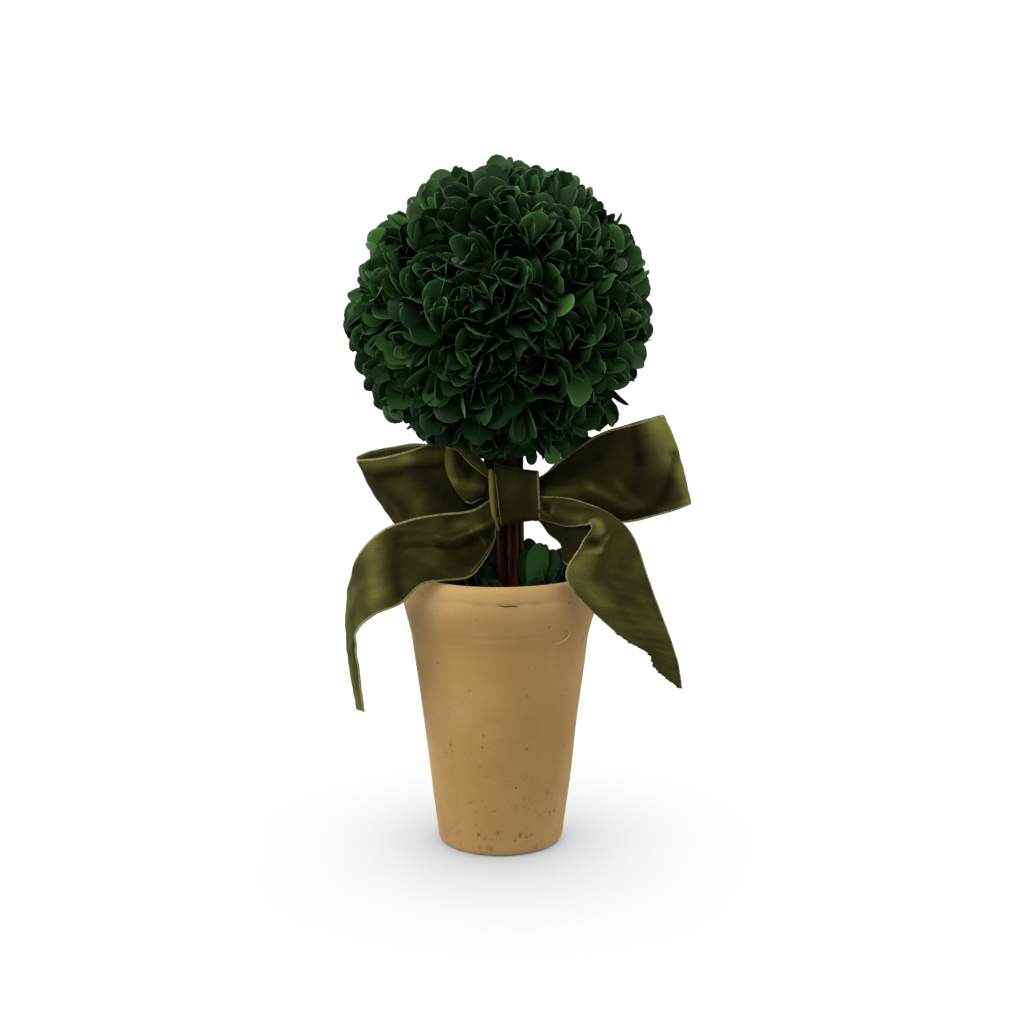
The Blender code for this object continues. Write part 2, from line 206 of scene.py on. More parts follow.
def ripples(points: Array, size: float, seed: int, waves: int = 14) -> Array:
    """A smooth random field, from about -1 to 1.

    It is a sum of sine waves, each with a random direction and phase and a length near the given size.

    Args:
        points: Places, in an array whose last axis is X, Y and Z.
        size: Length of the waves.
        seed: Seed of the directions and phases.
        waves: Number of waves.

    Returns:
        One number for each place.
    """
    rng = np.random.default_rng(seed)
    direction = unit(rng.normal(size=(waves, 3)))
    turns = direction * (2 * math.pi / size) * rng.uniform(0.6, 1.6, (waves, 1))
    phase = rng.uniform(0, 2 * math.pi, waves)
    return np.sin(points @ turns.T + phase).sum(-1) / math.sqrt(waves)


def unit(vectors: Array) -> Array:
    """The vectors of an array's last axis, each at length one."""
    return vectors / np.maximum(np.linalg.norm(vectors, axis=-1, keepdims=True), 1e-12)


def surface_normals(grid: Array) -> Array:
    """Normals of a grid of points: the cross product of its steps along the rows and across them."""
    return unit(np.cross(np.gradient(grid, axis=0), np.gradient(grid, axis=1)))


def bump(distance: Array, width: float) -> Array:
    """A bell curve: one at no distance, and a third at the given width."""
    return np.exp(-((distance / width) ** 2))


def full_turn(count: int) -> Array:
    """Angles at even steps round a full turn, in radians."""
    return np.linspace(0, 2 * math.pi, count, endpoint=False)


def angle_from(angle: Array, degrees: float) -> Array:
    """How far angles in radians lie from one in degrees, at most half a turn either way."""
    return np.angle(np.exp(1j * (angle - math.radians(degrees))))


def about_z(radius: Array | float, angle: Array, height: Array | float) -> Array:
    """Places at a distance from the Z axis, an angle about it and a height."""
    return np.stack(np.broadcast_arrays(radius * np.cos(angle), radius * np.sin(angle), height), axis=-1)


def distance_along(path: Array) -> Array:
    """Distance travelled along a path up to each of its points."""
    return np.concatenate([[0], np.cumsum(np.linalg.norm(np.diff(path, axis=0), axis=1))])


def tube(path: Array, side: Place, radius: Array, finish: int = 0) -> Shell:
    """A closed tube: a ring of points round each point of a path, which is wide as the radius says.

    Args:
        path: Points of the middle line, one a row.
        side: A direction across the path, to measure the rings' angles from.
        radius: Distance from the path, in an array over rows and angles.
        finish: Number of the finish that the faces take.

    Returns:
        The tube with both ends closed.
    """
    rows, columns = radius.shape
    along = unit(np.gradient(path, axis=0))
    first = unit(side - along * (along @ side)[:, None])
    second = np.cross(along, first)
    angle = full_turn(columns)
    spokes = first[:, None] * np.cos(angle)[:, None] + second[:, None] * np.sin(angle)[:, None]
    points = (path[:, None] + spokes * radius[..., None]).reshape(-1, 3)
    flow = np.stack(np.broadcast_arrays(np.linspace(0, 1, rows)[:, None], angle), axis=-1).reshape(-1, 2)
    return Shell(points, ringed(rows, columns, finish), flow).turned_outwards()


def wisps(path: Array, first: Array, second: Array, radius: Array, corners: int) -> Shell:
    """Many thin closed tubes at once.

    A ring's point is the path's point, plus the radius times the cosine of the point's angle in the first
    direction and times its sine in the second.

    Args:
        path: Points of the middle lines, in an array over wisps and rows.
        first: A direction across each wisp.
        second: The other direction across it.
        radius: Distance from the middle line at each row.
        corners: Number of points in a ring.

    Returns:
        The wisps with both ends closed.
    """
    count, rows = path.shape[:2]
    angle = full_turn(corners)[:, None]
    spoke = first[:, None] * np.cos(angle) + second[:, None] * np.sin(angle)
    points = path[:, :, None] + spoke[:, None] * radius[:, None, None]
    offset = np.arange(count)[:, None, None] * rows * corners
    groups = ringed(rows, corners)
    groups = [((faces + offset).reshape(-1, faces.shape[1]), finish) for faces, finish in groups]
    return Shell(points.reshape(-1, 3), groups)


def make_piece(
    name: str, shell: Shell, finishes: Sequence[Material], nodes: Sequence[str]
) -> None:
    """Makes a mesh of a surface and puts it in the frame, in place of the solids that it stands for.

    Args:
        name: Name of the piece.
        shell: Its surface.
        finishes: Materials, in the order of the numbers that the faces hold.
        nodes: Solids that this piece replaces.
    """
    mesh = bpy.data.meshes.new(name)
    corners = np.concatenate([faces.ravel() for faces, _ in shell.groups])
    sizes = np.concatenate([np.full(len(faces), faces.shape[1]) for faces, _ in shell.groups])
    chosen = np.concatenate([np.full(len(faces), finish) for faces, finish in shell.groups])
    mesh.vertices.add(len(shell.points))
    mesh.vertices.foreach_set("co", shell.points.astype(np.float32).ravel())
    mesh.loops.add(len(corners))
    mesh.loops.foreach_set("vertex_index", corners.astype(np.int32))
    mesh.polygons.add(len(sizes))
    mesh.polygons.foreach_set("loop_start", (np.cumsum(sizes) - sizes).astype(np.int32))
    mesh.polygons.foreach_set("material_index", chosen.astype(np.int32))
    if shell.flow is not None:
        layer = mesh.uv_layers.new(name="flow")
        layer.data.foreach_set("uv", shell.flow[corners].astype(np.float32).ravel())
    if shell.tone is not None:
        layer = mesh.attributes.new("tone", "FLOAT", "POINT")
        layer.data.foreach_set("value", shell.tone.astype(np.float32))
    mesh.update(calc_edges=True)
    mesh.validate()
    mesh.shade_smooth()
    mesh.set_sharp_from_angle(angle=math.radians(SHARP_ANGLE))
    for finish in finishes:
        mesh.materials.append(finish)
    piece = bpy.data.objects.new(name, mesh)
    bpy.context.scene.collection.objects.link(piece)
    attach(piece, BODY)
    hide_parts(*nodes)
    LOG.info("%s: %d triangles for %s", name, shell.triangle_count(), ", ".join(nodes))


# Finishes


class Operation(Enum):
    """Ways to work out one number from two in a material."""

    PRODUCT = "MULTIPLY"
    SUM = "ADD"


@dataclass
class NodeTree:
    """A tree of shader nodes, with a short way to add one."""

    tree: bpy.types.NodeTree

    def fill(self, node: bpy.types.Node, inputs: dict[str | int, Value]) -> None:
        """Fills inputs of a node, each with a link or a constant.

        Args:
            node: The node.
            inputs: What goes into each input, by its name or its number.
        """
        for name, value in inputs.items():
            socket = node.inputs[name]
            if isinstance(value, Socket):
                self.tree.links.new(value, socket)
            elif isinstance(value, tuple):
                socket.default_value = (*value, 1.0)[: len(socket.default_value)]
            else:
                socket.default_value = value

    def node(self, kind: str, inputs: dict[str | int, Value], **settings: str) -> bpy.types.Node:
        """Adds a node.

        Args:
            kind: Kind of the node.
            inputs: What goes into each input, by its name or its number.
            settings: The node's own settings.

        Returns:
            The node.
        """
        node = self.tree.nodes.new(f"ShaderNode{kind}")
        for name, setting in settings.items():
            setattr(node, name, setting)
        self.fill(node, inputs)
        return node


class NodeSheet(NodeTree):
    """The shader nodes of one material, with short ways to add the kinds used here."""

    def __init__(self, name: str) -> None:
        """Starts a material with a Principled shader.

        Args:
            name: Name of the material.
        """
        self.material = bpy.data.materials.new(name)
        self.material.use_nodes = True
        super().__init__(self.material.node_tree)
        self.shader = self.tree.nodes["Principled BSDF"]
        self.coordinates = self.node("TexCoord", {})
        self.place = self.coordinates.outputs["Object"]

    def set(self, **values: Value) -> None:
        """Fills inputs of the shader, with underscores for the spaces in their names."""
        self.fill(self.shader, {name.replace("_", " "): value for name, value in values.items()})

    def stretched(self, source: str, scale: Place) -> Socket:
        """Coordinates from the named output, multiplied by a scale on each axis."""
        place = self.coordinates.outputs[source]
        return self.node("Mapping", {"Vector": place, "Scale": scale}).outputs["Vector"]

    def noise(self, place: Socket, scale: float, detail: float) -> Socket:
        """Fractal noise of a scale and a detail, as a number round one half."""
        return self.node("TexNoise", {"Vector": place, "Scale": scale, "Detail": detail}).outputs["Fac"]

    def height(self) -> Socket:
        """How high a place stands, in metres."""
        return self.node("SeparateXYZ", {"Vector": self.place}).outputs["Z"]

    def specks(self, place: Socket, scale: float, radius: float) -> Socket:
        """Scattered round specks: one inside and zero outside, from the distance to scattered points."""
        cells = self.node("TexVoronoi", {"Vector": place, "Scale": scale})
        return self.range(cells.outputs["Distance"], radius, radius * 0.6, 0.0, 1.0)

    def range(self, value: Socket, low: float, high: float, to_low: float, to_high: float) -> Socket:
        """A number carried from one range to another and held there."""
        ends = {"From Min": low, "From Max": high, "To Min": to_low, "To Max": to_high}
        return self.node("MapRange", {"Value": value, **ends}).outputs["Result"]

    def combined(self, operation: Operation, first: Socket, second: Socket) -> Socket:
        """The product or the sum of two numbers."""
        return self.node("Math", {0: first, 1: second}, operation=operation.value).outputs[0]

    def tone(self) -> Socket:
        """The number that the piece holds for each of its points."""
        return self.node("Attribute", {}, attribute_name="tone").outputs["Fac"]

    def ramp(self, value: Socket, stops: Sequence[tuple[float, Colour]]) -> Socket:
        """A colour for each number, between the stops.

        Args:
            value: The number.
            stops: Numbers that rise, each with its colour.

        Returns:
            The colour.
        """
        ramp = self.node("ValToRGB", {"Fac": value})
        elements = ramp.color_ramp.elements
        while len(elements) < len(stops):
            elements.new(0.5)
        for element, (place, colour) in zip(elements, stops):
            element.position = place
            element.color = (*colour, 1.0)
        return ramp.outputs["Color"]

    def blend(self, share: Socket, first: Socket, second: Colour) -> Socket:
        """A colour that goes over to a second one by the share."""
        return self.node("Mix", {0: share, 6: first, 7: second}, data_type="RGBA").outputs[2]

    def relief(self, heights: Sequence[tuple[Socket, float, float]]) -> None:
        """Adds bumps one on another.

        Args:
            heights: Height, strength and depth in metres of each.
        """
        below = {}
        for height, strength, depth in heights:
            inputs = {"Height": height, "Strength": strength, "Distance": depth, **below}
            node = self.node("Bump", inputs)
            below = {"Normal": node.outputs["Normal"]}
        self.set(**below)


@dataclass(frozen=True)
class ClayFinish:
    """Unglazed buff clay: cloudy colour, fine grit, dark specks and faint turning lines.

    The tone attribute darkens grime, marks and pits, and below zero it is painted light on the rim under the
    ribbons.
    """

    light: Colour = (0.425, 0.259, 0.09)
    middle: Colour = (0.391, 0.232, 0.07)
    deep: Colour = (0.358, 0.206, 0.058)
    stain: Colour = (0.1, 0.05, 0.016)
    scuff: Colour = (0.2, 0.1, 0.028)
    chalk_and_painted_light: Colour = (0.56, 0.375, 0.168)
    roughness: float = 0.85

    def material(self) -> Material:
        """Makes the material.

        Returns:
            The material.
        """
        sheet = NodeSheet("clay")
        sheet.set(Roughness=self.roughness, Specular_IOR_Level=0.25)
        sheet.set(Sheen_Weight=0.12, Sheen_Roughness=0.5, Sheen_Tint=(0.9, 0.76, 0.55))
        place = sheet.place
        clouds = sheet.noise(place, 24, 4)
        colour = sheet.ramp(clouds, [(0.32, self.deep), (0.5, self.middle), (0.68, self.light)])
        grit = sheet.noise(place, 1500, 2)
        colour = sheet.blend(sheet.range(grit, 0.55, 0.75, 0.0, 0.22), colour, self.deep)
        # A paler band at the rim: partly chalky clay, partly painted highlight on the lit lip.
        colour = sheet.blend(sheet.range(sheet.height(), 0.13, 0.142, 0.0, 0.26), colour, self.chalk_and_painted_light)
        # Below zero the tone paints light on the rim under the ribbons, which lifts their shadows there.
        colour = sheet.blend(sheet.range(sheet.tone(), -1.0, 0.0, 1.0, 0.0), colour, self.chalk_and_painted_light)
        scuffs = sheet.range(sheet.noise(place, 130, 3), 0.53, 0.64, 0.0, 1.0)
        marks = sheet.range(sheet.noise(place, 520, 3), 0.5, 0.62, 0.0, 0.3)
        scuffs = sheet.combined(Operation.PRODUCT, scuffs, marks)
        low = sheet.range(sheet.height(), 0.0, 0.09, 1.0, 0.3)
        colour = sheet.blend(sheet.combined(Operation.PRODUCT, scuffs, low), colour, self.scuff)
        patchy = sheet.range(sheet.noise(place, 90, 1), 0.5, 0.6, 0.0, 0.7)
        specks = sheet.combined(Operation.PRODUCT, sheet.specks(place, 190, 0.13), patchy)
        colour = sheet.blend(specks, colour, self.stain)
        colour = sheet.blend(sheet.range(sheet.tone(), 0.0, 1.0, 0.0, 1.0), colour, self.stain)
        lines = sheet.noise(sheet.stretched("Object", (5, 5, 600)), 1, 2)
        sheet.relief([(lines, 0.16, 0.0003), (sheet.noise(place, 420, 4), 0.22, 0.0004), (grit, 0.3, 0.0002)])
        sheet.set(Base_Color=colour)
        return sheet.material


@dataclass(frozen=True)
class VelvetFinish:
    """Cut velvet, whose pile is dark where it stands up and lighter where it lies flat.

    The tone attribute is mostly painted highlight and shade; random patches where the pile lies flatter or
    stands up more are added here. The stops go from dark standing pile and painted shade to pale flattened
    pile and painted highlight.
    """

    name: str = "velvet"
    stops: tuple[Colour, ...] = (
        (0.009, 0.0081, 0.0012), (0.019, 0.0171, 0.0034), (0.0405, 0.0388, 0.009),
        (0.087, 0.0858, 0.0205), (0.165, 0.164, 0.037)
    )
    sheen: float = 0.5
    sheen_colour: Colour = (0.24, 0.235, 0.045)
    roughness: float = 0.85
    crush: float = 0.1
    patch: float = 90.0

    def material(self) -> Material:
        """Makes the material.

        Returns:
            The material.
        """
        sheet = NodeSheet(self.name)
        sheet.set(Roughness=self.roughness, Specular_IOR_Level=0.04)
        sheet.set(Sheen_Weight=self.sheen, Sheen_Roughness=0.3, Sheen_Tint=self.sheen_colour)
        patches = sheet.noise(sheet.stretched("UV", (0.6, 1.0, 1.0)), self.patch, 3)
        grain = sheet.noise(sheet.coordinates.outputs["UV"], 1700, 1)
        crushed = sheet.range(patches, 0.25, 0.75, -self.crush, self.crush)
        # The tone is mostly painted light; the crushed patches and the grain are the pile's own.
        pile_and_painted_light = sheet.combined(Operation.SUM, sheet.tone(), crushed)
        pile_and_painted_light = sheet.combined(Operation.SUM, pile_and_painted_light, sheet.range(grain, 0.3, 0.7, -0.08, 0.08))
        colour = sheet.ramp(pile_and_painted_light, [(0.25 * number, stop) for number, stop in enumerate(self.stops)])
        sheet.set(Base_Color=colour)
        sheet.relief([(grain, 0.5, 0.0003), (patches, 0.2, 0.0006)])
        return sheet.material


@dataclass(frozen=True)
class SelvageFinish:
    """The woven edge of the ribbon: lighter, with fine ribs across it."""

    light: Colour = (0.23, 0.226, 0.08)
    deep: Colour = (0.11, 0.107, 0.034)

    def material(self) -> Material:
        """Makes the material.

        Returns:
            The material.
        """
        sheet = NodeSheet("selvage")
        ribs = sheet.noise(sheet.stretched("UV", (1.0, 0.1, 1.0)), 1100, 2)
        colour = sheet.ramp(ribs, [(0.35, self.deep), (0.6, self.light)])
        sheet.set(Base_Color=colour, Roughness=0.7, Specular_IOR_Level=0.2)
        sheet.relief([(ribs, 0.6, 0.0003)])
        return sheet.material


@dataclass(frozen=True)
class BarkFinish:
    """Smooth reddish twig bark, streaked along the stick, with pale scars."""

    deep: Colour = (0.011, 0.0023, 0.0011)
    middle: Colour = (0.035, 0.0078, 0.0037)
    light: Colour = (0.09, 0.026, 0.013)
    scar: Colour = (0.085, 0.05, 0.032)

    def material(self) -> Material:
        """Makes the material.

        Returns:
            The material.
        """
        sheet = NodeSheet("bark")
        streaks = sheet.noise(sheet.stretched("Object", (420, 420, 22)), 1, 4)
        colour = sheet.ramp(streaks, [(0.34, self.deep), (0.5, self.middle), (0.72, self.light)])
        scars = sheet.noise(sheet.stretched("Object", (260, 260, 90)), 1, 2)
        colour = sheet.blend(sheet.range(scars, 0.66, 0.74, 0.0, 0.7), colour, self.scar)
        sheet.set(Base_Color=colour, Roughness=0.5, Specular_IOR_Level=0.18)
        sheet.relief([(streaks, 0.7, 0.0006), (scars, 0.3, 0.0004)])
        return sheet.material


@dataclass(frozen=True)
class TangleFinish:
    """A dark tangle that shows only in gaps: the dry moss in the pot, and the ball's heart, dark as painted
    shade.
    """

    name: str
    deep: Colour
    light: Colour

    def material(self) -> Material:
        """Makes the material.

        Returns:
            The material.
        """
        sheet = NodeSheet(self.name)
        tangle = sheet.noise(sheet.place, 420, 4)
        colour = sheet.ramp(tangle, [(0.35, self.deep), (0.7, self.light)])
        sheet.set(Base_Color=colour, Roughness=0.95, Specular_IOR_Level=0.05)
        sheet.relief([(tangle, 0.9, 0.0015)])
        return sheet.material


@dataclass(frozen=True)
class PlainFinish:
    """One plain colour, for a leaf's blade or rim, for the twigs or for a mark on the pot."""

    name: str
    colour: Colour
    roughness: float = 0.5
    gloss: float = 0.14

    def material(self) -> Material:
        """Makes the material.

        Returns:
            The material.
        """
        sheet = NodeSheet(self.name)
        sheet.set(Base_Color=self.colour, Roughness=self.roughness, Specular_IOR_Level=self.gloss)
        return sheet.material


class LeafTint(Enum):
    """Tints of the leaves.

    Each holds the blade's colour, the rim's colour, the share of the sprays that have the tint, and its
    chance among the single leaves that differ from their spray.
    """

    # Each rim's colour is lighter than its blade's: partly the paler thick margin of the leaf, partly painted
    # highlight along its edge.
    BLUE = ((0.0105, 0.0385, 0.0125), (0.024, 0.072, 0.025), 0.22, 0.2)
    DEEP = ((0.0135, 0.043, 0.012), (0.028, 0.078, 0.024), 0.42, 0.1)
    MIDDLE = ((0.0265, 0.081, 0.0205), (0.048, 0.129, 0.0365), 0.31, 0.3)
    YELLOW = ((0.092, 0.148, 0.034), (0.125, 0.185, 0.052), 0.0, 0.0)
    BRIGHT = ((0.044, 0.13, 0.026), (0.084, 0.2, 0.052), 0.035, 0.4)
    # A grey-green tint, which the dealing gives to the sprays ranked palest.
    DUSTY = ((0.034, 0.07, 0.027), (0.06, 0.108, 0.046), 0.03, 0.0)

    @property
    def number(self) -> int:
        """Place of the tint in the list of tints."""
        return list(LeafTint).index(self)

    def materials(self) -> list[Material]:
        """Makes the blade's and the rim's material.

        Returns:
            The two materials.
        """
        word = self.name.lower()
        blade = PlainFinish(f"leaf_{word}", self.value[0])
        rim = PlainFinish(f"leaf_rim_{word}", self.value[1], 0.45)
        return [blade.material(), rim.material()]


# Leaves


class LeafSide(IntEnum):
    """Parts of a leaf, by the number of the finish that they take."""

    BLADE = 0
    RIM = 1


@dataclass(frozen=True)
class LeafShape:
    """A boxwood leaf: narrow foot, round shoulders, blunt tip, and a thick rim lower than the blade.

    The blade is a grid over the share travelled from foot to tip and the share across from edge to edge, and
    the underside is a second grid behind it. One row of quads joins the two all round, and is the rim.
    """

    along: tuple[float, ...] = (0.0, 0.2, 0.43, 0.67, 0.87, 1.0)
    half_width: tuple[float, ...] = (0.07, 0.25, 0.42, 0.5, 0.42, 0.27)
    across: tuple[float, ...] = (-1.0, -0.5, 0.0, 0.5, 1.0)
    tip_round: float = 0.065
    inset: float = 0.94
    thickness: float = 0.00046
    midrib: float = 0.03

    def template(self) -> tuple[Array, Array, Array, Faces]:
        """The leaf at length one and width one.

        Returns:
            The shares along and sideways of each point, its side, its share from edge to edge, and the faces.
        """
        rows, columns = len(self.along), len(self.across)
        foot, edge = np.meshgrid(self.along, self.across, indexing="ij")
        travelled = foot - self.tip_round * edge**2 * foot**4
        sideways = edge * np.asarray(self.half_width)[:, None]
        blade = np.stack([0.5 + (travelled - 0.5) * (self.inset + 0.04), sideways * self.inset], axis=-1)
        under = np.stack([travelled, sideways], axis=-1)
        flat = np.concatenate([blade.reshape(-1, 2), under.reshape(-1, 2)])
        side = np.repeat([1.0, -1.0], rows * columns)
        top = grid_quads(rows, columns)
        number = np.arange(rows * columns).reshape(rows, columns)
        border = np.concatenate([number[:, 0], number[-1, 1:], number[-2::-1, -1], number[0, -2:0:-1]])
        next_border = np.roll(border, -1)
        rim = np.stack([border, next_border, next_border + rows * columns, border + rows * columns], axis=-1)
        groups = [(top[:, ::-1], LeafSide.BLADE), (rim[:, ::-1], LeafSide.RIM)]
        groups.append((top + rows * columns, LeafSide.BLADE))
        return flat, side, np.tile(edge.ravel(), 2), groups


@dataclass
class Leaves:
    """Many leaves as arrays with one row a leaf: foot, directions, sizes, bends and number of the spray."""

    foot: Array
    along: Array
    across: Array
    length: Array
    width: Array
    cup: Array
    droop: Array
    twist: Array
    spray: Array

    def arrays(self) -> list[Array]:
        """The arrays, in the order of their names above, so that the sprays' numbers come last."""
        return [getattr(self, entry.name) for entry in fields(self)]

    def kept(self, keep: Array) -> Leaves:
        """The leaves that a true-or-false array picks."""
        return Leaves(*(array[keep] for array in self.arrays()))

    def joined_with(self, more: Leaves) -> Leaves:
        """These leaves and more, whose sprays are numbered on from these.

        Args:
            more: The other leaves.

        Returns:
            All the leaves.
        """
        *arrays, spray = more.arrays()
        arrays.append(spray + self.spray.max() + 1)
        return Leaves(*(np.concatenate(pair) for pair in zip(self.arrays(), arrays)))

    def probes(self) -> Array:
        """Seven places on each leaf: on its middle line, at its tip and at its edges.

        Returns:
            The places, in an array over leaves and places.
        """
        steps = ((0.35, 0), (0.7, 0), (1.0, 0), (0.7, 0.5), (0.7, -0.5), (0.4, 0.4), (0.4, -0.4))
        reach, side = np.array(steps).T
        lengthwise = self.along[:, None] * (self.length[:, None] * reach)[..., None]
        sidewise = self.across[:, None] * (self.width[:, None] * side)[..., None]
        return self.foot[:, None] + lengthwise + sidewise

    def surface(self, shape: LeafShape) -> Shell:
        """All the leaves as one surface.

        A point of a leaf lies at its foot, plus its share of the length along the leaf, plus its share of the
        width across it. The sideways direction turns with the share along, by the twist. Out of the plane the
        edges rise with the square of the share across, by the cup, and the tip falls with the square of the
        share along, by the droop.

        Args:
            shape: The leaf's outline and thickness.

        Returns:
            The surface, whose rims take the second finish.
        """
        flat, side, edge, groups = shape.template()
        normal = np.cross(self.along, self.across)
        reach, sideways = flat[:, 0], flat[:, 1]
        length, width = self.length[:, None], self.width[:, None]
        turn = (self.twist[:, None] * reach)[..., None]
        across = self.across[:, None] * np.cos(turn) + normal[:, None] * np.sin(turn)
        rise = self.cup[:, None] * width * edge**2 * np.sin(math.pi * np.clip(reach, 0, 1)) ** 0.5
        rise -= shape.midrib * width * bump(edge, 0.2) * (side > 0)
        rise -= self.droop[:, None] * length * reach**2
        rise += side * shape.thickness / 2
        points = self.foot[:, None] + self.along[:, None] * (length * reach)[..., None]
        points = points + across * (width * sideways)[..., None] + normal[:, None] * rise[..., None]
        offset = np.arange(len(self.foot)) * len(flat)
        faces = [((corners + offset[:, None, None]).reshape(-1, 4), finish) for corners, finish in groups]
        return Shell(points.reshape(-1, 3), faces)


@dataclass(frozen=True)
class LeafRow:
    """One crossed pair of leaves on a spray: its height, its distance off the axis, its spread and its size.

    The spread is in degrees.
    """

    height: float
    offset: float
    spread: float
    length: float
    width: float


@dataclass(frozen=True)
class SprayRule:
    """The seeded rule by which crossed pairs of leaves open round the axis of each spray."""

    rows: Sequence[LeafRow]
    spread_jitter: float = 9.0
    roll_jitter: float = 0.6
    twist: float = 0.45

    def grow(self, feet: Array, axes: Array, scale: Array, rng: np.random.Generator) -> Leaves:
        """Grows the leaves of every spray at once.

        Each row of leaves is turned a quarter round the axis from the one below, and its two leaves stand
        opposite. A leaf leans off the axis by the row's spread, and its sideways direction is turned about it
        at random.

        Args:
            feet: Lowest place of each spray.
            axes: Direction of each spray.
            scale: Size of each spray's leaves, as a share of the rows' sizes.
            rng: Source of the random turns.

        Returns:
            The leaves, with two for each row and spray.
        """
        count, levels = len(feet), len(self.rows)
        shape = (count, levels, 2)
        height, offset, spread, length, width = (
            np.array([getattr(row, name) for row in self.rows])[None, :, None] * np.ones(shape)
            for name in ("height", "offset", "spread", "length", "width")
        )
        helper = np.where(np.abs(axes[:, 2:]) < 0.9, Z_AXIS, X_AXIS)
        first = unit(np.cross(axes, helper))
        second = np.cross(axes, first)
        roll = rng.uniform(0, math.pi, (count, 1, 1)) + np.arange(levels)[None, :, None] * math.pi / 2
        roll = roll + np.array([0, math.pi]) + rng.uniform(-self.roll_jitter, self.roll_jitter, shape)
        out = first[:, None, None] * np.cos(roll)[..., None] + second[:, None, None] * np.sin(roll)[..., None]
        opening = rng.uniform(0.65, 1.45, (count, 1, 1))
        lean = np.radians(spread * opening + rng.uniform(-self.spread_jitter, self.spread_jitter, shape))
        axis = axes[:, None, None]
        along = axis * np.cos(lean)[..., None] + out * np.sin(lean)[..., None]
        across = np.cross(np.broadcast_to(axis, along.shape), out)
        turn = rng.uniform(-self.twist, self.twist, shape)[..., None]
        across = unit(across * np.cos(turn) + np.cross(along, across) * np.sin(turn))
        size = scale[:, None, None] * rng.uniform(0.86, 1.08, shape)
        up = (height * scale[:, None, None])[..., None]
        foot = feet[:, None, None] + axis * up + out * offset[..., None]
        return Leaves(
            foot.reshape(-1, 3), along.reshape(-1, 3), across.reshape(-1, 3),
            (length * size).ravel(),
            (width * size * rng.uniform(0.88, 1.1, shape)).ravel(),
            rng.normal(-0.1, 0.12, count * levels * 2),
            rng.normal(0.05, 0.12, count * levels * 2),
            rng.normal(0, 0.24, count * levels * 2),
            np.repeat(np.arange(count), levels * 2),
        )


def stated(rows: Sequence[tuple]) -> Leaves:
    """Leaves that are stated one by one, each a spray of its own.

    Args:
        rows: Foot, tip and width of each leaf in millimetres, and its blade's turn to the side in radians.

    Returns:
        The leaves.
    """
    foot, tip = (np.array([row[side] for row in rows]).reshape(-1, 3) * MM for side in (0, 1))
    width, turn = (np.array([row[side] for row in rows]) for side in (2, 3))
    flat = np.zeros(len(rows))
    along = unit(tip - foot)
    across = unit(np.cross(along, np.stack([np.sin(turn), -np.cos(turn), flat], axis=-1)))
    length = np.linalg.norm(tip - foot, axis=1)
    cup, droop = flat + 0.06, flat - 0.04
    return Leaves(foot, along, across, length, width * MM, cup, droop, flat, np.arange(len(rows)))


def deal_tints(leaves: Leaves, paleness: Array, rng: np.random.Generator) -> Array:
    """Deals the tints out by spray, the palest first, and gives a few leaves a tint of their own.

    Args:
        leaves: The leaves.
        paleness: How much light each spray has had, which is mixed with chance to rank the sprays.
        rng: Source of the chance.

    Returns:
        The number of each leaf's tint.
    """
    shares, odd = np.array([tint.value[2:] for tint in LeafTint]).T
    rank = np.argsort(np.argsort(paleness + rng.uniform(0, 1, len(paleness)))) / len(paleness)
    dealt = np.searchsorted(np.cumsum(shares / shares.sum()), rank, side="right")[leaves.spray]
    own = rng.uniform(0, 1, len(dealt)) < ODD_LEAVES
    return np.where(own, rng.choice(len(shares), len(dealt), p=odd), dealt)


# Bow


class Cloth(IntEnum):
    """Sides of a ribbon, by the number of the finish that they take."""

    PILE = 0
    BACK = 1
    WOVEN = 2


@dataclass(frozen=True)
class Fold:
    """A ridge or a hollow in a ribbon, along a line between two places on it.

    A place is the shares travelled along the ribbon and across it from the bottom edge. The width and the
    height are in millimetres, and the height of a hollow is below zero. The painted light is painted highlight
    along the line, and painted shade where it is below zero; a fold of no height is only painted light.
    """

    start: Pair
    end: Pair
    width: float
    height: float
    painted_light: float = 0.0


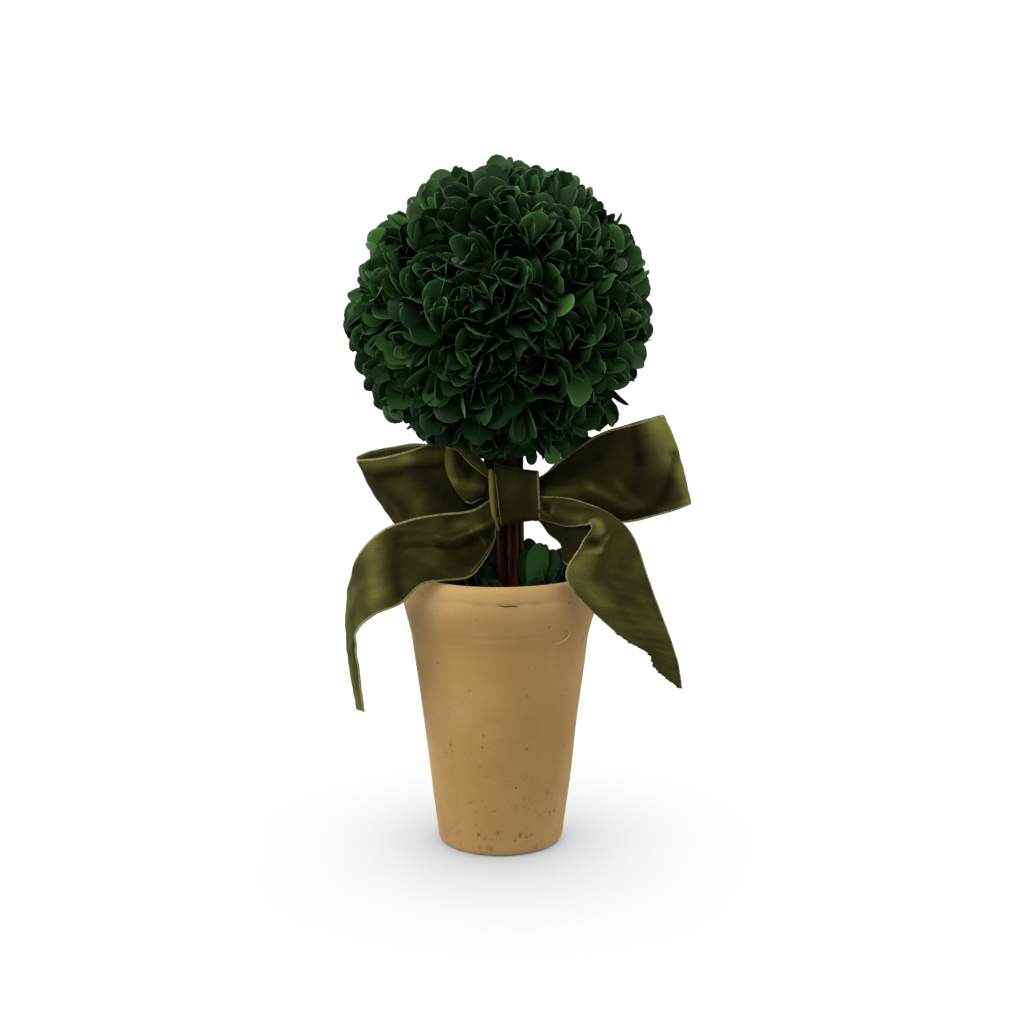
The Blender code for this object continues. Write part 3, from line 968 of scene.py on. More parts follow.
@dataclass
class Ribbon:
    """A length of velvet ribbon between its top edge and its bottom edge.

    Its stations are places on the two edges in millimetres, from the knot on. The bottom edge is cut, and the
    top edge toothed, from a share of the length on, and neither is where that share is above one.
    """

    name: str
    node: str
    stations: Sequence[tuple[Place, Place]]
    belly: float
    facing: int
    folds: Sequence[Fold] = ()
    gather: float = 0.0
    cut_from: float = 2.0
    seed: int = 1
    thickness: float = 0.0011
    edge_thinning: float = 0.55
    edge_width: float = 0.0009
    rows: int = 150
    columns: int = 30
    wrinkle: float = 0.00035
    tuck: float = 0.006
    tuck_back: float = 0.0012
    # The piece's tone level, set per piece as painted light: paler for pieces in light, darker for pieces in
    # shade.
    pile_and_painted_light: float = 0.25
    fray: float = 0.0004
    tooth: float = 0.0007
    teeth_from: float = 2.0
    end_finish: Cloth = Cloth.WOVEN
    end_bulge: float = 0.0

    def sheet(self) -> tuple[Array, Array, Array]:
        """The ribbon's middle surface.

        A point lies between the two edges by its share across, and is lifted along the outward direction by
        the belly, which is a parabola across the ribbon, by the folds, by the gathers at the knot and by
        small wrinkles.

        Returns:
            A grid of points over the share along and the share across, the metres along and across at each,
            and the tone, which is mostly painted highlight and shade.
        """
        stations = np.array(self.stations) * MM
        tucked = stations[0] - [self.facing_x() * self.tuck, -self.tuck_back, 0]
        edges = smooth_path(np.concatenate([tucked[None], stations]), self.rows)
        top, bottom = edges[:, 0], edges[:, 1]
        centre = (top + bottom) / 2
        width = np.linalg.norm(top - bottom, axis=1)
        metres = distance_along(centre)
        travelled = np.linspace(0, 1, self.rows)[:, None]
        share = self.shares(width)
        outward = unit(np.cross(np.gradient(centre, axis=0), top - bottom))[:, None] * self.facing
        middle = bottom[:, None] * (1 - share[..., None]) + top[:, None] * share[..., None]
        arch = 4 * share * (1 - share)
        middle[..., 0] += self.facing_x() * self.end_bulge * travelled**2 * arch
        swell = self.belly * np.minimum(1, 8 * travelled * (1 - travelled)) * arch
        place = np.stack([metres[:, None] * np.ones_like(share), share * width[:, None]], axis=-1)
        # The tone starts at the piece's painted light level.
        tone = np.full_like(swell, self.pile_and_painted_light)
        # Each fold adds its relief, and paints highlight along its line, and shade where its last number is
        # below zero.
        for fold in self.folds:
            near = self.nearness(fold, place, metres, width)
            swell = swell + fold.height * MM * near
            tone = tone + fold.painted_light * near
        waves = np.cos(2 * math.pi * (share * 2.6 + 0.35 * self.seed))
        near_knot = np.exp(-metres / 0.011)[:, None] * np.minimum(1, 12 * travelled)
        flat = np.concatenate([place, np.zeros((*place.shape[:2], 1))], axis=-1)
        wrinkles = ripples(flat, 0.016, self.seed) + 0.4 * ripples(flat, 0.007, self.seed + 50)
        swell = swell + self.gather * waves * near_knot
        swell = swell + self.wrinkle * np.minimum(1, 10 * travelled) * wrinkles
        tone = tone + 0.05 * ripples(flat, 0.024, self.seed + 70)
        return middle + outward * swell[..., None], place, tone

    def facing_x(self) -> float:
        """One for a ribbon that leaves the knot towards +X, and minus one for the other side."""
        return math.copysign(1.0, self.stations[1][0][0] - self.stations[0][0][0])

    def shares(self, width: Array) -> Array:
        """Shares across the ribbon: the woven edges keep their width, and the pile is even between them.

        Args:
            width: Width of each row.

        Returns:
            The shares, in an array over rows and columns.
        """
        band = np.minimum(self.edge_width / width, 0.1)[:, None]
        pile = band + np.linspace(0, 1, self.columns) * (1 - 2 * band)
        low = band * np.array([[0.0, 0.5]])
        return np.concatenate([low, pile, 1 - low[:, ::-1]], axis=1)

    def nearness(self, fold: Fold, place: Array, metres: Array, width: Array) -> Array:
        """How near each point is to a fold: a bell curve of the distance from its line, in metres.

        Args:
            fold: The fold.
            place: Metres along and across for each point.
            metres: Metres along for each row.
            width: Width of each row.

        Returns:
            One on the line, falling off beside it and past its ends.
        """
        ends = []
        for at, over in (fold.start, fold.end):
            along, wide = (np.interp(at, np.linspace(0, 1, self.rows), row) for row in (metres, width))
            ends.append((along, over * wide))
        start, end = np.array(ends)
        line = end - start
        nearest = np.clip(((place - start) @ line) / (line @ line), 0, 1)
        gap = np.linalg.norm(place - start - nearest[..., None] * line, axis=-1)
        return bump(gap, fold.width * MM)

    def surface(self) -> Shell:
        """The ribbon with its thickness, its woven edges and its ends.

        The section is the pile side, the turn of one edge, the back and the turn of the other edge. Both
        sides stand off the middle surface by half the thickness, which is less on the woven edges.

        Returns:
            A closed surface.
        """
        grid, place, tone = self.sheet()
        rows, columns = grid.shape[:2]
        normal = surface_normals(grid) * self.facing
        thick = np.full((rows, columns), self.thickness / 2)
        thick[:, [0, 1, -2, -1]] *= self.edge_thinning * np.array([0.5, 1, 1, 0.5])
        grid[:, 0] += unit(grid[:, 0] - grid[:, 2]) * self.cut_amount(rows)[:, None]
        teeth = np.where(np.arange(rows) > self.teeth_from * rows, np.arange(rows) % 2, 0) * self.tooth
        grid[:, -1] += unit(grid[:, -1] - grid[:, -3]) * teeth[:, None]
        offset = normal * thick[..., None]
        section = np.concatenate([grid + offset, (grid - offset)[:, ::-1]], axis=1)
        flow = np.concatenate([place, place[:, ::-1]], axis=1)
        tones = np.concatenate([tone, tone[:, ::-1]], axis=1)
        around = 2 * columns
        quads = grid_quads(rows, around, closed_columns=True)
        column = np.tile(np.arange(around), rows - 1)
        bottom = (column < 2) | (column >= around - 3)
        top = (column >= columns - 3) & (column < columns + 2)
        raw = bottom & (np.repeat(np.arange(rows - 1), around) > self.cut_from * rows)
        woven = (bottom | top) & ~raw
        pile = ~woven & ((column < columns) | raw)
        groups = [(quads[pile], Cloth.PILE), (quads[~woven & ~pile], Cloth.BACK), (quads[woven], Cloth.WOVEN)]
        first = np.concatenate([np.arange(columns), np.arange(around - 1, columns - 1, -1)])
        cap = first[grid_quads(2, columns)]
        groups += [(cap, Cloth.PILE), ((cap + (rows - 1) * around)[:, ::-1], self.end_finish)]
        return Shell(section.reshape(-1, 3), groups, flow.reshape(-1, 2), tones.ravel()).turned_outwards()

    def cut_amount(self, rows: int) -> Array:
        """How far the cut edge stands out or in at each row: slow waves with fine fraying on them.

        Args:
            rows: Number of rows.

        Returns:
            The distances.
        """
        row = np.arange(rows)
        rough = np.random.default_rng(self.seed + 900).uniform(-1, 1, rows)
        waves = 1.25 * np.sin(row * 0.55) + np.sin(row * 1.31 + 2)
        return np.where(row > self.cut_from * rows, rough + waves, rough * 0.15) * self.fray

    def samples(self) -> Array:
        """Places on the ribbon for leaves to keep clear of."""
        return self.sheet()[0][::4, ::3].reshape(-1, 3)


# In the ribbons below, the last number of each fold and the tone level are painted highlight and shade.
# The right loop, out along its front layer and back along its rear one
RIGHT_LOOP = Ribbon(
    "bow_right_loop", "bow_loop_right", belly=0.002, facing=1, gather=0.0012, seed=3, rows=200,
    edge_width=0.0012,
    stations=(
        ((20.7, -13.2, 197.4), (21.4, -13.2, 177)), ((31.7, -16, 206.6), (38.4, -20, 174.6)),
        ((51.4, -20, 220.4), (63.7, -25, 174.8)), ((69.4, -17, 225.2), (85.5, -20, 179.2)),
        ((81.6, -7.5, 228), (97.2, -8, 181.2)), ((83.8, -1, 228), (99, -0.5, 181)),
        ((80, 3, 226.6), (95, 4, 179.4)), ((68, 4.5, 223), (80, 5.5, 175.4)),
        ((50, 4.5, 216.8), (60, 4.5, 172)), ((33, 1.5, 206), (38, 0, 172.8)),
        ((22.6, -8, 197.4), (22.6, -8, 177.2))
    ),
    folds=(
        Fold((0.1, 0.62), (0.23, 0.47), 2.6, 1, 0.17), Fold((0.23, 0.47), (0.29, 0.15), 2.6, 1, 0.22),
        Fold((0.265, 0.72), (0.28, 0.4), 2, 0.6, 0.08), Fold((0.28, 0.4), (0.31, 0.14), 2, 0.8, 0.18),
        Fold((0.05, 0.5), (0.19, 0.45), 4.5, 0.6, 0.16), Fold((0.12, 0.98), (0.26, 0.75), 3.6, -1.3, -0.2),
        Fold((0.02, 0.64), (0.2, 0.72), 2.2, -1.2, -0.26),
        Fold((0.35, 0.98), (0.335, 0.6), 2.6, -1.2, -0.26), Fold((0.335, 0.6), (0.305, 0.3), 3, -0.9, -0.16),
        Fold((0.12, 0.24), (0.33, 0.05), 3, -0.9, -0.22), Fold((0.465, 0.95), (0.485, 0.05), 9.5, 0, 0.68),
        Fold((0.4, 0.92), (0.395, 0.58), 6.5, 0, 0.34), Fold((0.43, 0.6), (0.465, 0.58), 1.2, -0.5, -0.18),
        Fold((0.465, 0.56), (0.355, 0.12), 2.8, -1.2, -0.34), Fold((0.35, 0.05), (0.47, 0.05), 1.8, 0, 0.26)
    )
)

# The left loop, whose mouth is open at the top
LEFT_LOOP = Ribbon(
    "bow_left_loop", "bow_loop_left", belly=0.002, facing=-1, gather=0.0008, seed=5, rows=260, pile_and_painted_light=0.29,
    teeth_from=0.57,
    stations=(
        ((-6, -13.2, 197.3), (-5.3, -13.2, 175.6)), ((-19.4, -18, 211.5), (-18.1, -18, 171.1)),
        ((-30.5, -21, 216.4), (-30.8, -22, 167.6)), ((-46.7, -23, 211.5), (-40.3, -18, 165.9)),
        ((-59.7, -20, 208.1), (-45.2, -13, 165.2)), ((-71.6, -11.5, 205.8), (-48, -7, 165)),
        ((-74.2, -4, 206), (-48.9, -1.5, 164.6)), ((-67.5, 4, 208.4), (-46.5, 4, 164.2)),
        ((-55.6, 8, 210.3), (-42.6, 6.5, 164.3)), ((-42.4, 8, 211.9), (-32.1, 7, 166.3)),
        ((-23.8, 3, 208.2), (-18.7, 2, 170.1)), ((-7.8, -8, 199), (-7.8, -8, 175.9))
    ),
    folds=(
        Fold((0.5, 0.93), (0.34, 0.92), 3.4, 0, 0.34), Fold((0.34, 0.92), (0.22, 0.91), 3.4, 0, 0.3),
        Fold((0.45, 0.78), (0.37, 0.79), 2.4, -0.8, -0.26),
        Fold((0.34, 0.81), (0.21, 0.76), 1.1, -0.9, -0.3), Fold((0.36, 0.62), (0.31, 0.26), 6, 0.8, 0.25),
        Fold((0.29, 0.66), (0.21, 0.34), 4.2, -0.6, -0.18), Fold((0.5, 0.85), (0.44, 0.48), 3.5, 0, -0.1),
        Fold((0.44, 0.45), (0.43, 0.12), 2.6, 0, 0.12)
    )
)

# The inner fold that stands in front of the left loop, beside the knot
LEFT_PLEAT = Ribbon(
    "bow_left_pleat", "bow_pleat_left", belly=0.0012, facing=-1, rows=90, seed=7, pile_and_painted_light=0.43,
    end_finish=Cloth.PILE, end_bulge=0.0042,
    stations=(
        ((-6.1, -15.8, 198.2), (-5.8, -15.8, 187.4)), ((-13, -20.6, 205.6), (-10.8, -19.6, 185.6)),
        ((-20.2, -24.4, 211.8), (-14.4, -22.4, 184.2)), ((-27.6, -26.2, 214.4), (-17.6, -24.6, 185.4))
    ),
    folds=(
        Fold((0.92, 0.97), (0.98, 0.3), 2.2, 0.6, 0.34), Fold((0.8, 0.92), (0.6, 0.66), 2.8, -1, -0.3),
        Fold((0.88, 0.39), (0.39, 0.36), 2.2, 0.7, 0.2), Fold((0.78, 0.02), (0.3, 0.02), 2, -0.8, -0.3)
    )
)

# The upper edge of the pleat, doubled over into a narrow strip that runs down to the roll
LEFT_STRIP = Ribbon(
    "bow_left_strip", "bow_pleat_left", belly=0.0004, facing=-1, rows=90, columns=10, seed=17, pile_and_painted_light=0.4,
    tuck=0.002, wrinkle=0.0001, edge_width=0.0006,
    stations=(
        ((-4.9, -18.6, 200.2), (-5.4, -19.6, 196.6)), ((-8.9, -21.6, 206.4), (-10.6, -22.4, 200.8)),
        ((-13.2, -24, 211), (-15.2, -24.8, 204.8)), ((-17.6, -25.6, 213.6), (-19.7, -26, 210)),
        ((-23, -26.6, 215.4), (-24, -26.6, 214.6))
    ),
    folds=(Fold((0.2, 0.5), (0.9, 0.5), 1.2, 0.3, 0.12),)
)

# The left tail: over the rim of the pot, folded over and hanging with its edge to the front
LEFT_TAIL = Ribbon(
    "bow_left_tail", "bow_tail_left", belly=0.0024, facing=-1, gather=0.0009, seed=9, rows=200, pile_and_painted_light=0.35,
    edge_width=0.0012, tuck=0.0012,
    stations=(
        ((-5.8, -17.8, 185.6), (-1.4, -17.8, 170.6)), ((-15.2, -28, 181.8), (-4.2, -26, 161.8)),
        ((-31.7, -33, 180.6), (-14, -36, 149.4)), ((-46.1, -37, 178.2), (-28.5, -42, 148)),
        ((-59.5, -39, 172.9), (-39.3, -44.5, 146.2)), ((-71.5, -36, 160.2), (-49, -46, 137.2)),
        ((-77.6, -24, 143.5), (-62.8, -47, 131.2)), ((-79.4, -8, 128.2), (-71.4, -44.5, 122.6)),
        ((-80.7, 2, 113), (-72.2, -43, 113.4)), ((-79.7, 4, 90.3), (-71, -42, 96)),
        ((-77.4, 3, 69.8), (-68.9, -40.5, 80.2))
    ),
    folds=(
        Fold((0.42, 0.94), (0.17, 0.93), 1.8, 0, 0.12), Fold((0.24, 0.8), (0.19, 0.6), 2.4, 0.8, 0.26),
        Fold((0.26, 0.99), (0.21, 0.86), 3, -0.8, -0.2), Fold((0.06, 0.3), (0.22, 0.59), 1, 1.4, 0.24),
        Fold((0.22, 0.59), (0.31, 0.65), 1, 1.2, 0.2), Fold((0.31, 0.65), (0.42, 0.72), 1.1, 0.7, 0.08),
        Fold((0.08, 0.05), (0.23, 0.42), 2.8, -1.6, -0.42),
        Fold((0.23, 0.44), (0.32, 0.52), 1.9, -1.3, -0.28),
        Fold((0.32, 0.52), (0.42, 0.61), 1.6, -0.8, -0.16), Fold((0.2, 0.39), (0.2, 0.23), 1, 0.5, 0.45),
        Fold((0.09, 0.07), (0.27, 0.07), 0.8, 0.4, 0.45), Fold((0.485, 0.97), (0.605, 0.08), 5.5, 1.2, 0.4),
        Fold((0.55, 0.97), (0.68, 0.08), 10, 0, 0.14), Fold((0.415, 0.8), (0.53, 0.14), 3, -0.8, -0.18),
        Fold((0.3, 0.36), (0.24, 0.08), 5, -0.6, -0.16), Fold((0.4, 0.48), (0.34, 0.06), 3, 0.6, 0.12),
        Fold((0.68, 0.9), (1.0, 0.5), 12, 0, 0.26)
    )
)

# The right tail: over a hip, then down to a slanted cut
RIGHT_TAIL = Ribbon(
    "bow_right_tail", "bow_tail_right", belly=0.0024, facing=1, gather=0.0009, cut_from=0.66, seed=11,
    rows=280, pile_and_painted_light=0.5,
    stations=(
        ((21.1, -17.8, 187.6), (21.6, -17.8, 175.2)), ((37, -28, 187.6), (34, -29, 173.5)),
        ((55.2, -37, 181.4), (45.5, -41, 175.4)), ((67.2, -40, 169.7), (40.2, -46, 167)),
        ((74.9, -41, 148.3), (33.4, -48, 148.8)), ((84.4, -42, 122.9), (58.7, -46, 121.9)),
        ((88.8, -41.5, 110), (74, -44.5, 111.8)), ((91, -41.3, 101.6), (78.4, -43.6, 103.2)),
        ((92.2, -41, 92.4), (90.4, -42, 92.8))
    ),
    folds=(
        Fold((0.136, 0.66), (0.144, 0.5), 1.4, -1.2, -0.5),
        Fold((0.171, 0.66), (0.175, 0.42), 1.1, 0.6, 0.24),
        Fold((0.117, 0.4), (0.163, 0.28), 1.1, 0.6, 0.22), Fold((0.132, 0.93), (0.28, 0.94), 1.3, 0.5, 0.12),
        Fold((0.179, 0.45), (0.28, 0.28), 2.2, 0.8, 0.16),
        Fold((0.202, 0.75), (0.296, 0.7), 2.2, -0.6, -0.12),
        Fold((0.327, 0.11), (0.404, 0.33), 2, 1.2, 0.42),
        Fold((0.436, 0.17), (0.451, 0.29), 1.8, -1.2, -0.45),
        Fold((0.474, 0.14), (0.474, 0.35), 1.4, 0.5, 0.22),
        Fold((0.474, 0.35), (0.436, 0.47), 1.4, 0.5, 0.22), Fold((0.498, 0.12), (0.591, 0.25), 7, 0, 0.22),
        Fold((0.459, 0.45), (0.591, 0.55), 3.2, -0.5, -0.15), Fold((0.078, 0.5), (0.233, 0.5), 8, 0, -0.16)
    )
)

# The underside of the right tail, seen below its hip where the ribbon turns over, darkened by painted shade
RIGHT_TURN = Ribbon(
    "bow_right_turn", "bow_tail_right", belly=0.001, facing=1, rows=70, seed=13, pile_and_painted_light=0.12, tuck=0.003,
    stations=(
        ((20, -15.5, 179.5), (20.6, -15.5, 174)), ((27, -19.5, 177.5), (24.5, -19.5, 168.5)),
        ((34, -25, 178), (31, -24.5, 163.5)), ((42.5, -31, 178.5), (32.5, -30.5, 155.5)),
        ((49.5, -35, 177.5), (38.5, -37, 153))
    )
)


@dataclass
class Bow:
    """The velvet bow: two loops, a pleat, two tails, the knot and the band round the sticks.

    The lines of the roll and of the seam are in millimetres.
    """

    ribbons: tuple[Ribbon, ...] = (
        RIGHT_LOOP, LEFT_LOOP, LEFT_PLEAT, LEFT_STRIP, LEFT_TAIL, RIGHT_TAIL, RIGHT_TURN
    )
    knot_centre: Place = (0.0091, -0.0152, 0.1877)
    knot_half: Place = (0.0113, 0.0058, 0.0146)
    knot_square: float = 3.0
    knot_pinch: float = 0.13
    knot_lean: float = 0.085
    knot_waist: float = 0.035
    roll_line: tuple[Place, ...] = (
        (-4.9, -20.2, 201.6), (-4.4, -21.4, 197.5), (-4.1, -22.2, 190.8), (-3.5, -23, 183.5),
        (-2.9, -23.2, 178), (-1.9, -22.8, 174), (-0.9, -21.8, 170.6)
    )
    roll_radius: float = 0.0017
    roll_thinning: float = 0.0005
    seam_line: tuple[Place, ...] = (
        (-2.6, -20.4, 199.6), (-1.9, -21.3, 194), (-1.1, -21.6, 187), (-0.4, -21.5, 180.5),
        (0.5, -19.5, 173.2)
    )
    seam_radius: float = 0.00034
    ring_radius: float = 0.0081
    ring_thickness: float = 0.0012
    ring_low: float = 0.176
    ring_high: float = 0.1985
    axis_x: float = 0.0051
    back_stops: tuple[Colour, ...] = (
        (0.05, 0.048, 0.012), (0.08, 0.078, 0.02), (0.105, 0.103, 0.027), (0.12, 0.119, 0.033),
        (0.15, 0.149, 0.045)
    )

    def knot_surface(self) -> Shell:
        """The wrapped knot: a band with a rounded rectangle as its section, carried from left to right.

        The section's point at an angle is the cosine and the sine of the angle, each raised to a power below
        one and multiplied by the half depth and the half height. The band narrows a little in the middle of
        its width, and both edges turn in.

        Returns:
            A closed surface.
        """
        half_x, half_y, half_z = self.knot_half
        angle = full_turn(120)
        circle = np.stack([np.cos(angle), np.sin(angle)])
        depth, height = np.sign(circle) * np.abs(circle) ** (2 / self.knot_square)
        edge = np.array([0.93, 0.97, 1.0, 0.97])
        across = np.concatenate([-edge[::-1], np.linspace(-0.9, 0.9, 25), edge])[:, None]
        size = 1 - self.knot_waist * (1 - across**2)
        size[[0, -1]] = 0.8
        size[[1, -2]] = 0.93
        x = across * half_x + 0.0006 * np.sin(angle)
        y = depth * half_y * size
        z = height * half_z * size * (1 - self.knot_pinch * across)
        grid = np.stack([x, y, z], axis=-1)
        grid[..., 0] -= self.knot_lean * grid[..., 2]
        grid[..., 1] += 0.00025 * ripples(grid, 0.012, 21) - 0.0004 * bump(grid[..., 0] + 0.002, 0.004)
        grid += np.array(self.knot_centre)
        rows, columns = grid.shape[:2]
        (quads, _), *caps = ringed(rows, columns)
        row = np.repeat(np.arange(rows - 1), columns)
        woven = (row < 2) | (row >= rows - 5)
        groups = [(quads[~woven], Cloth.PILE), (quads[woven], Cloth.WOVEN), *caps]
        flow = np.stack([z, x], axis=-1).reshape(-1, 2)
        # The tone is a level of painted light with random patches, and painted highlight towards the right
        # edge.
        tone = 0.3 + 0.06 * ripples(grid, 0.014, 23) + 0.12 * bump(across - 0.8, 0.25)
        return Shell(grid.reshape(-1, 3), groups, flow, tone.ravel()).turned_outwards()

    def roll_surface(self) -> Shell:
        """The rolled edge of cloth beside the knot: a tube that swells in the middle of its path.

        Returns:
            A closed surface.
        """
        rows, columns = 70, 28
        path = smooth_path(np.array(self.roll_line) * MM, rows)
        share = np.linspace(0, 1, rows)[:, None]
        angle = full_turn(columns)
        radius = self.roll_radius - self.roll_thinning * share
        radius = radius * np.sin(math.pi * (0.12 + 0.78 * share)) ** 0.3
        shell = tube(path, X_AXIS, radius * (1 + 0.08 * np.sin(2 * angle + 5 * share)))
        shell.flow = shell.flow * np.array([0.034, 0.0024])
        # Painted highlight on one side of the roll and painted shade on the other, round its angle.
        shell.tone = (0.66 + 0.34 * np.cos(angle - 2.1) + 0 * share).ravel()
        return shell

    def seam(self) -> Shell:
        """The woven edge of the wrap, which shows as a thin raised line at the left of the knot.

        Returns:
            A closed tube.
        """
        rows, columns = 60, 10
        path = smooth_path(np.array(self.seam_line) * MM, rows)
        shell = tube(path, X_AXIS, np.full((rows, columns), self.seam_radius), Cloth.WOVEN)
        shell.tone = np.full(len(shell.points), 0.5)
        return shell

    def ring_surface(self) -> Shell:
        """The band behind the knot: a section of two walls, carried round the sticks.

        Returns:
            A closed surface.
        """
        angle = full_turn(96)
        share = np.concatenate([[0, 0.03], np.linspace(0.06, 0.94, 12), [0.97, 1]])
        height = self.ring_low + (self.ring_high - self.ring_low) * share
        outer = self.ring_radius + self.ring_thickness + 0.0003 * np.sin(math.pi * share)
        profile_r = np.concatenate([outer, np.full(len(share), self.ring_radius)])
        profile_z = np.concatenate([height, height[::-1]])
        around, radius = np.meshgrid(angle, profile_r, indexing="ij")
        grid = about_z(radius, around, profile_z)
        outside = (radius > self.ring_radius)[..., None]
        grid[..., :2] *= 1 + 0.02 * ripples(grid, 0.012, 33)[..., None] * outside
        grid[..., 0] += self.axis_x
        columns = len(profile_r)
        quads = grid_quads(len(angle), columns, closed_rows=True, closed_columns=True)
        column = np.tile(np.arange(columns), len(angle))
        top = len(share) - 1
        woven = np.isin(column, (0, 1, top - 2, top - 1, top, columns - 1))
        groups = [(quads[~woven], Cloth.PILE), (quads[woven], Cloth.WOVEN)]
        flow = np.stack([around * self.ring_radius, profile_z + 0 * around], axis=-1).reshape(-1, 2)
        tone = 0.2 + 0.05 * ripples(grid, 0.01, 35).ravel()
        return Shell(grid.reshape(-1, 3), groups, flow, tone).turned_outwards()

    def dress(self) -> Array:
        """Makes the bow's pieces.

        Returns:
            Places on the bow for leaves to keep clear of.
        """
        back = VelvetFinish("velvet_back", self.back_stops, 0.2, crush=0.2)
        cloth = [VelvetFinish().material(), back.material(), SelvageFinish().material()]
        for ribbon in self.ribbons:
            make_piece(ribbon.name, ribbon.surface(), cloth, [ribbon.node])
        knot = joined([self.knot_surface(), self.roll_surface(), self.seam()])
        make_piece("bow_knot_wrap", knot, cloth, ["bow_knot"])
        make_piece("bow_band", self.ring_surface(), cloth, ["bow_ring"])
        return np.concatenate([*(ribbon.samples() for ribbon in self.ribbons), knot.points[::7]])


# Pot


@dataclass(frozen=True)
class Mark:
    """A pit or a stain on the pot: its angle in degrees, height, size and depth, and how dark it is."""

    angle: float
    height: float
    size: float
    depth: float
    dark: float


@dataclass
class Pot:
    """The hand-turned clay pot and the dry moss that fills it.

    The lip and the rim are given by radius and height, the foot by its inset and height, and the crack and
    the scratch by angle in degrees and height.
    """

    base_radius: float = 0.033
    taper: float = 0.122
    wall: float = 0.006
    floor: float = 0.008
    fill_top: float = 0.128
    fill_depth: float = 0.008
    columns: int = 320
    inner_points: int = 8
    inner_heights: tuple[float, ...] = (0.011, 0.03, 0.06, 0.09, 0.12, 0.138)
    lip: Pairs = (
        (0.0454, 0.1446), (0.0467, 0.1457), (0.0482, 0.1459), (0.0496, 0.1452), (0.0507, 0.1434)
    )
    rim: Pairs = (
        (0.0513, 0.1405), (0.0515, 0.137), (0.0516, 0.1335), (0.0512, 0.1295), (0.0501, 0.125),
        (0.0486, 0.1195)
    )
    outer_heights: tuple[float, ...] = (0.112, 0.1, 0.08, 0.06, 0.04, 0.02, 0.008, 0.003)
    foot: Pairs = ((0.0006, 0.0009), (0.0022, 0.0001))
    crack: Pairs = ((-91, 0.1374), (-87, 0.1369), (-83.5, 0.1371), (-79.5, 0.1367))
    crack_radius: float = 0.0003
    scratch: Pairs = ((-44.2, 0.1208), (-43.4, 0.1182), (-47, 0.1158), (-53.9, 0.1143))
    scratch_radius: float = 0.00026
    groove_height: float = 0.1378
    ring_height: float = 0.1195
    marks: tuple[Mark, ...] = (
        Mark(-109, 0.0118, 0.0009, 0.0006, 0.85), Mark(-104, 0.01, 0.0006, 0.0004, 0.8),
        Mark(-92, 0.0135, 0.0008, 0.0004, 0.7), Mark(-72, 0.012, 0.0008, 0.0005, 0.85),
        Mark(-77, 0.009, 0.0006, 0.0004, 0.7), Mark(-66, 0.01, 0.0007, 0.0004, 0.8),
        Mark(-62, 0.011, 0.0006, 0.0004, 0.7), Mark(-178, 0.015, 0.0016, 0.0008, 0.3),
        Mark(-98, 0.004, 0.0012, 0.0004, 0.5),
    )
    scattered: int = 60
    seed: int = 5
    strand_count: int = 2600
    strand_radius: float = 0.00018

    def profile(self) -> Array:
        """The wall's outline, from the middle of its floor up over the lip and down to the foot.

        Returns:
            The radius and the height of each point, of which the first ones are those of the inside.
        """
        inner = [(0.0, self.floor), (self.inside(self.floor) - 0.003, self.floor)]
        inner += [(self.inside(height), height) for height in self.inner_heights]
        wall = [(self.base_radius + self.taper * height, height) for height in self.outer_heights]
        foot = [(self.base_radius - inset, up) for inset, up in self.foot]
        return np.array([*inner, *self.lip, *self.rim, *wall, *foot, (0.02, 0.0), (0.0, 0.0)])

    def inside(self, height: float) -> float:
        """Radius of the hollow at a height."""
        return self.base_radius + self.taper * height - self.wall

    def all_marks(self) -> list[Mark]:
        """The placed marks and the ones scattered at random, which are thicker towards the foot.

        Returns:
            The marks.
        """
        rng = np.random.default_rng(self.seed)
        angles = rng.uniform(0, 360, self.scattered)
        heights = 0.004 + 0.128 * rng.uniform(0, 1, self.scattered) ** 2.2
        sizes = rng.uniform(0.0003, 0.0008, self.scattered)
        more = [Mark(angle, up, size, size * 0.5, 0.6) for angle, up, size in zip(angles, heights, sizes)]
        return [*self.marks, *more]

    def surface(self) -> Shell:
        """The pot: its outline turned about the vertical, with relief.

        The radius at an angle and a height is the outline's, plus a slow wobble, fine turning rings, two
        grooves below the rim and the pits, each of which is a bell curve of the distance from its middle.

        Returns:
            A closed surface, with the darkness of grime, pits and the groove line as its tone, and below zero
            the painted light on the rim under the ribbons.
        """
        outline = self.profile()
        lip = distance_along(outline)[self.inner_points]
        fine = smooth_path(outline, 1200)
        length = distance_along(fine)
        even = np.concatenate([np.linspace(0, lip, 60)[1:], np.linspace(lip, length[-1], 240)[1:-1]])
        radius, height = (np.interp(even, length, fine[:, axis]) for axis in (0, 1))
        outer = (even > lip)[:, None]
        around, tall = np.meshgrid(full_turn(self.columns), height)
        radii = np.broadcast_to(radius[:, None], around.shape).copy()
        ring = about_z(radii, around, tall)
        groove = tall - self.groove_height - 0.0004 * np.sin(around * 2)
        relief = 0.00022 * ripples(ring, 0.07, 2) + 0.000022 * ripples(ring * [0.2, 0.2, 1], 0.0045, 3)
        relief -= 0.00016 * bump(groove, 0.0008)
        relief -= 0.00018 * bump(tall - self.ring_height - 0.0006 * np.sin(around + 1), 0.0011)
        tone = 0.07 * bump(groove, 0.0005)
        for mark in self.all_marks():
            near = bump(np.hypot(angle_from(around, mark.angle) * radii, tall - mark.height), mark.size)
            relief -= mark.depth * near
            tone += mark.dark * near * outer
        tone += self.grime_and_painted_light(around, tall, ring)
        radii += relief * outer
        lift = 0.0007 * bump(angle_from(around, -62), 0.55) * bump(tall, 0.0012)
        ring = about_z(radii, around, tall + lift)
        points = np.concatenate([ring.reshape(-1, 3), [(0, 0, self.floor), (0, 0, 0)]])
        tones = np.append(np.clip(tone * outer, -1, 1).ravel(), [0, 0])
        return Shell(points, self.faces(len(even)), tone=tones).turned_outwards()

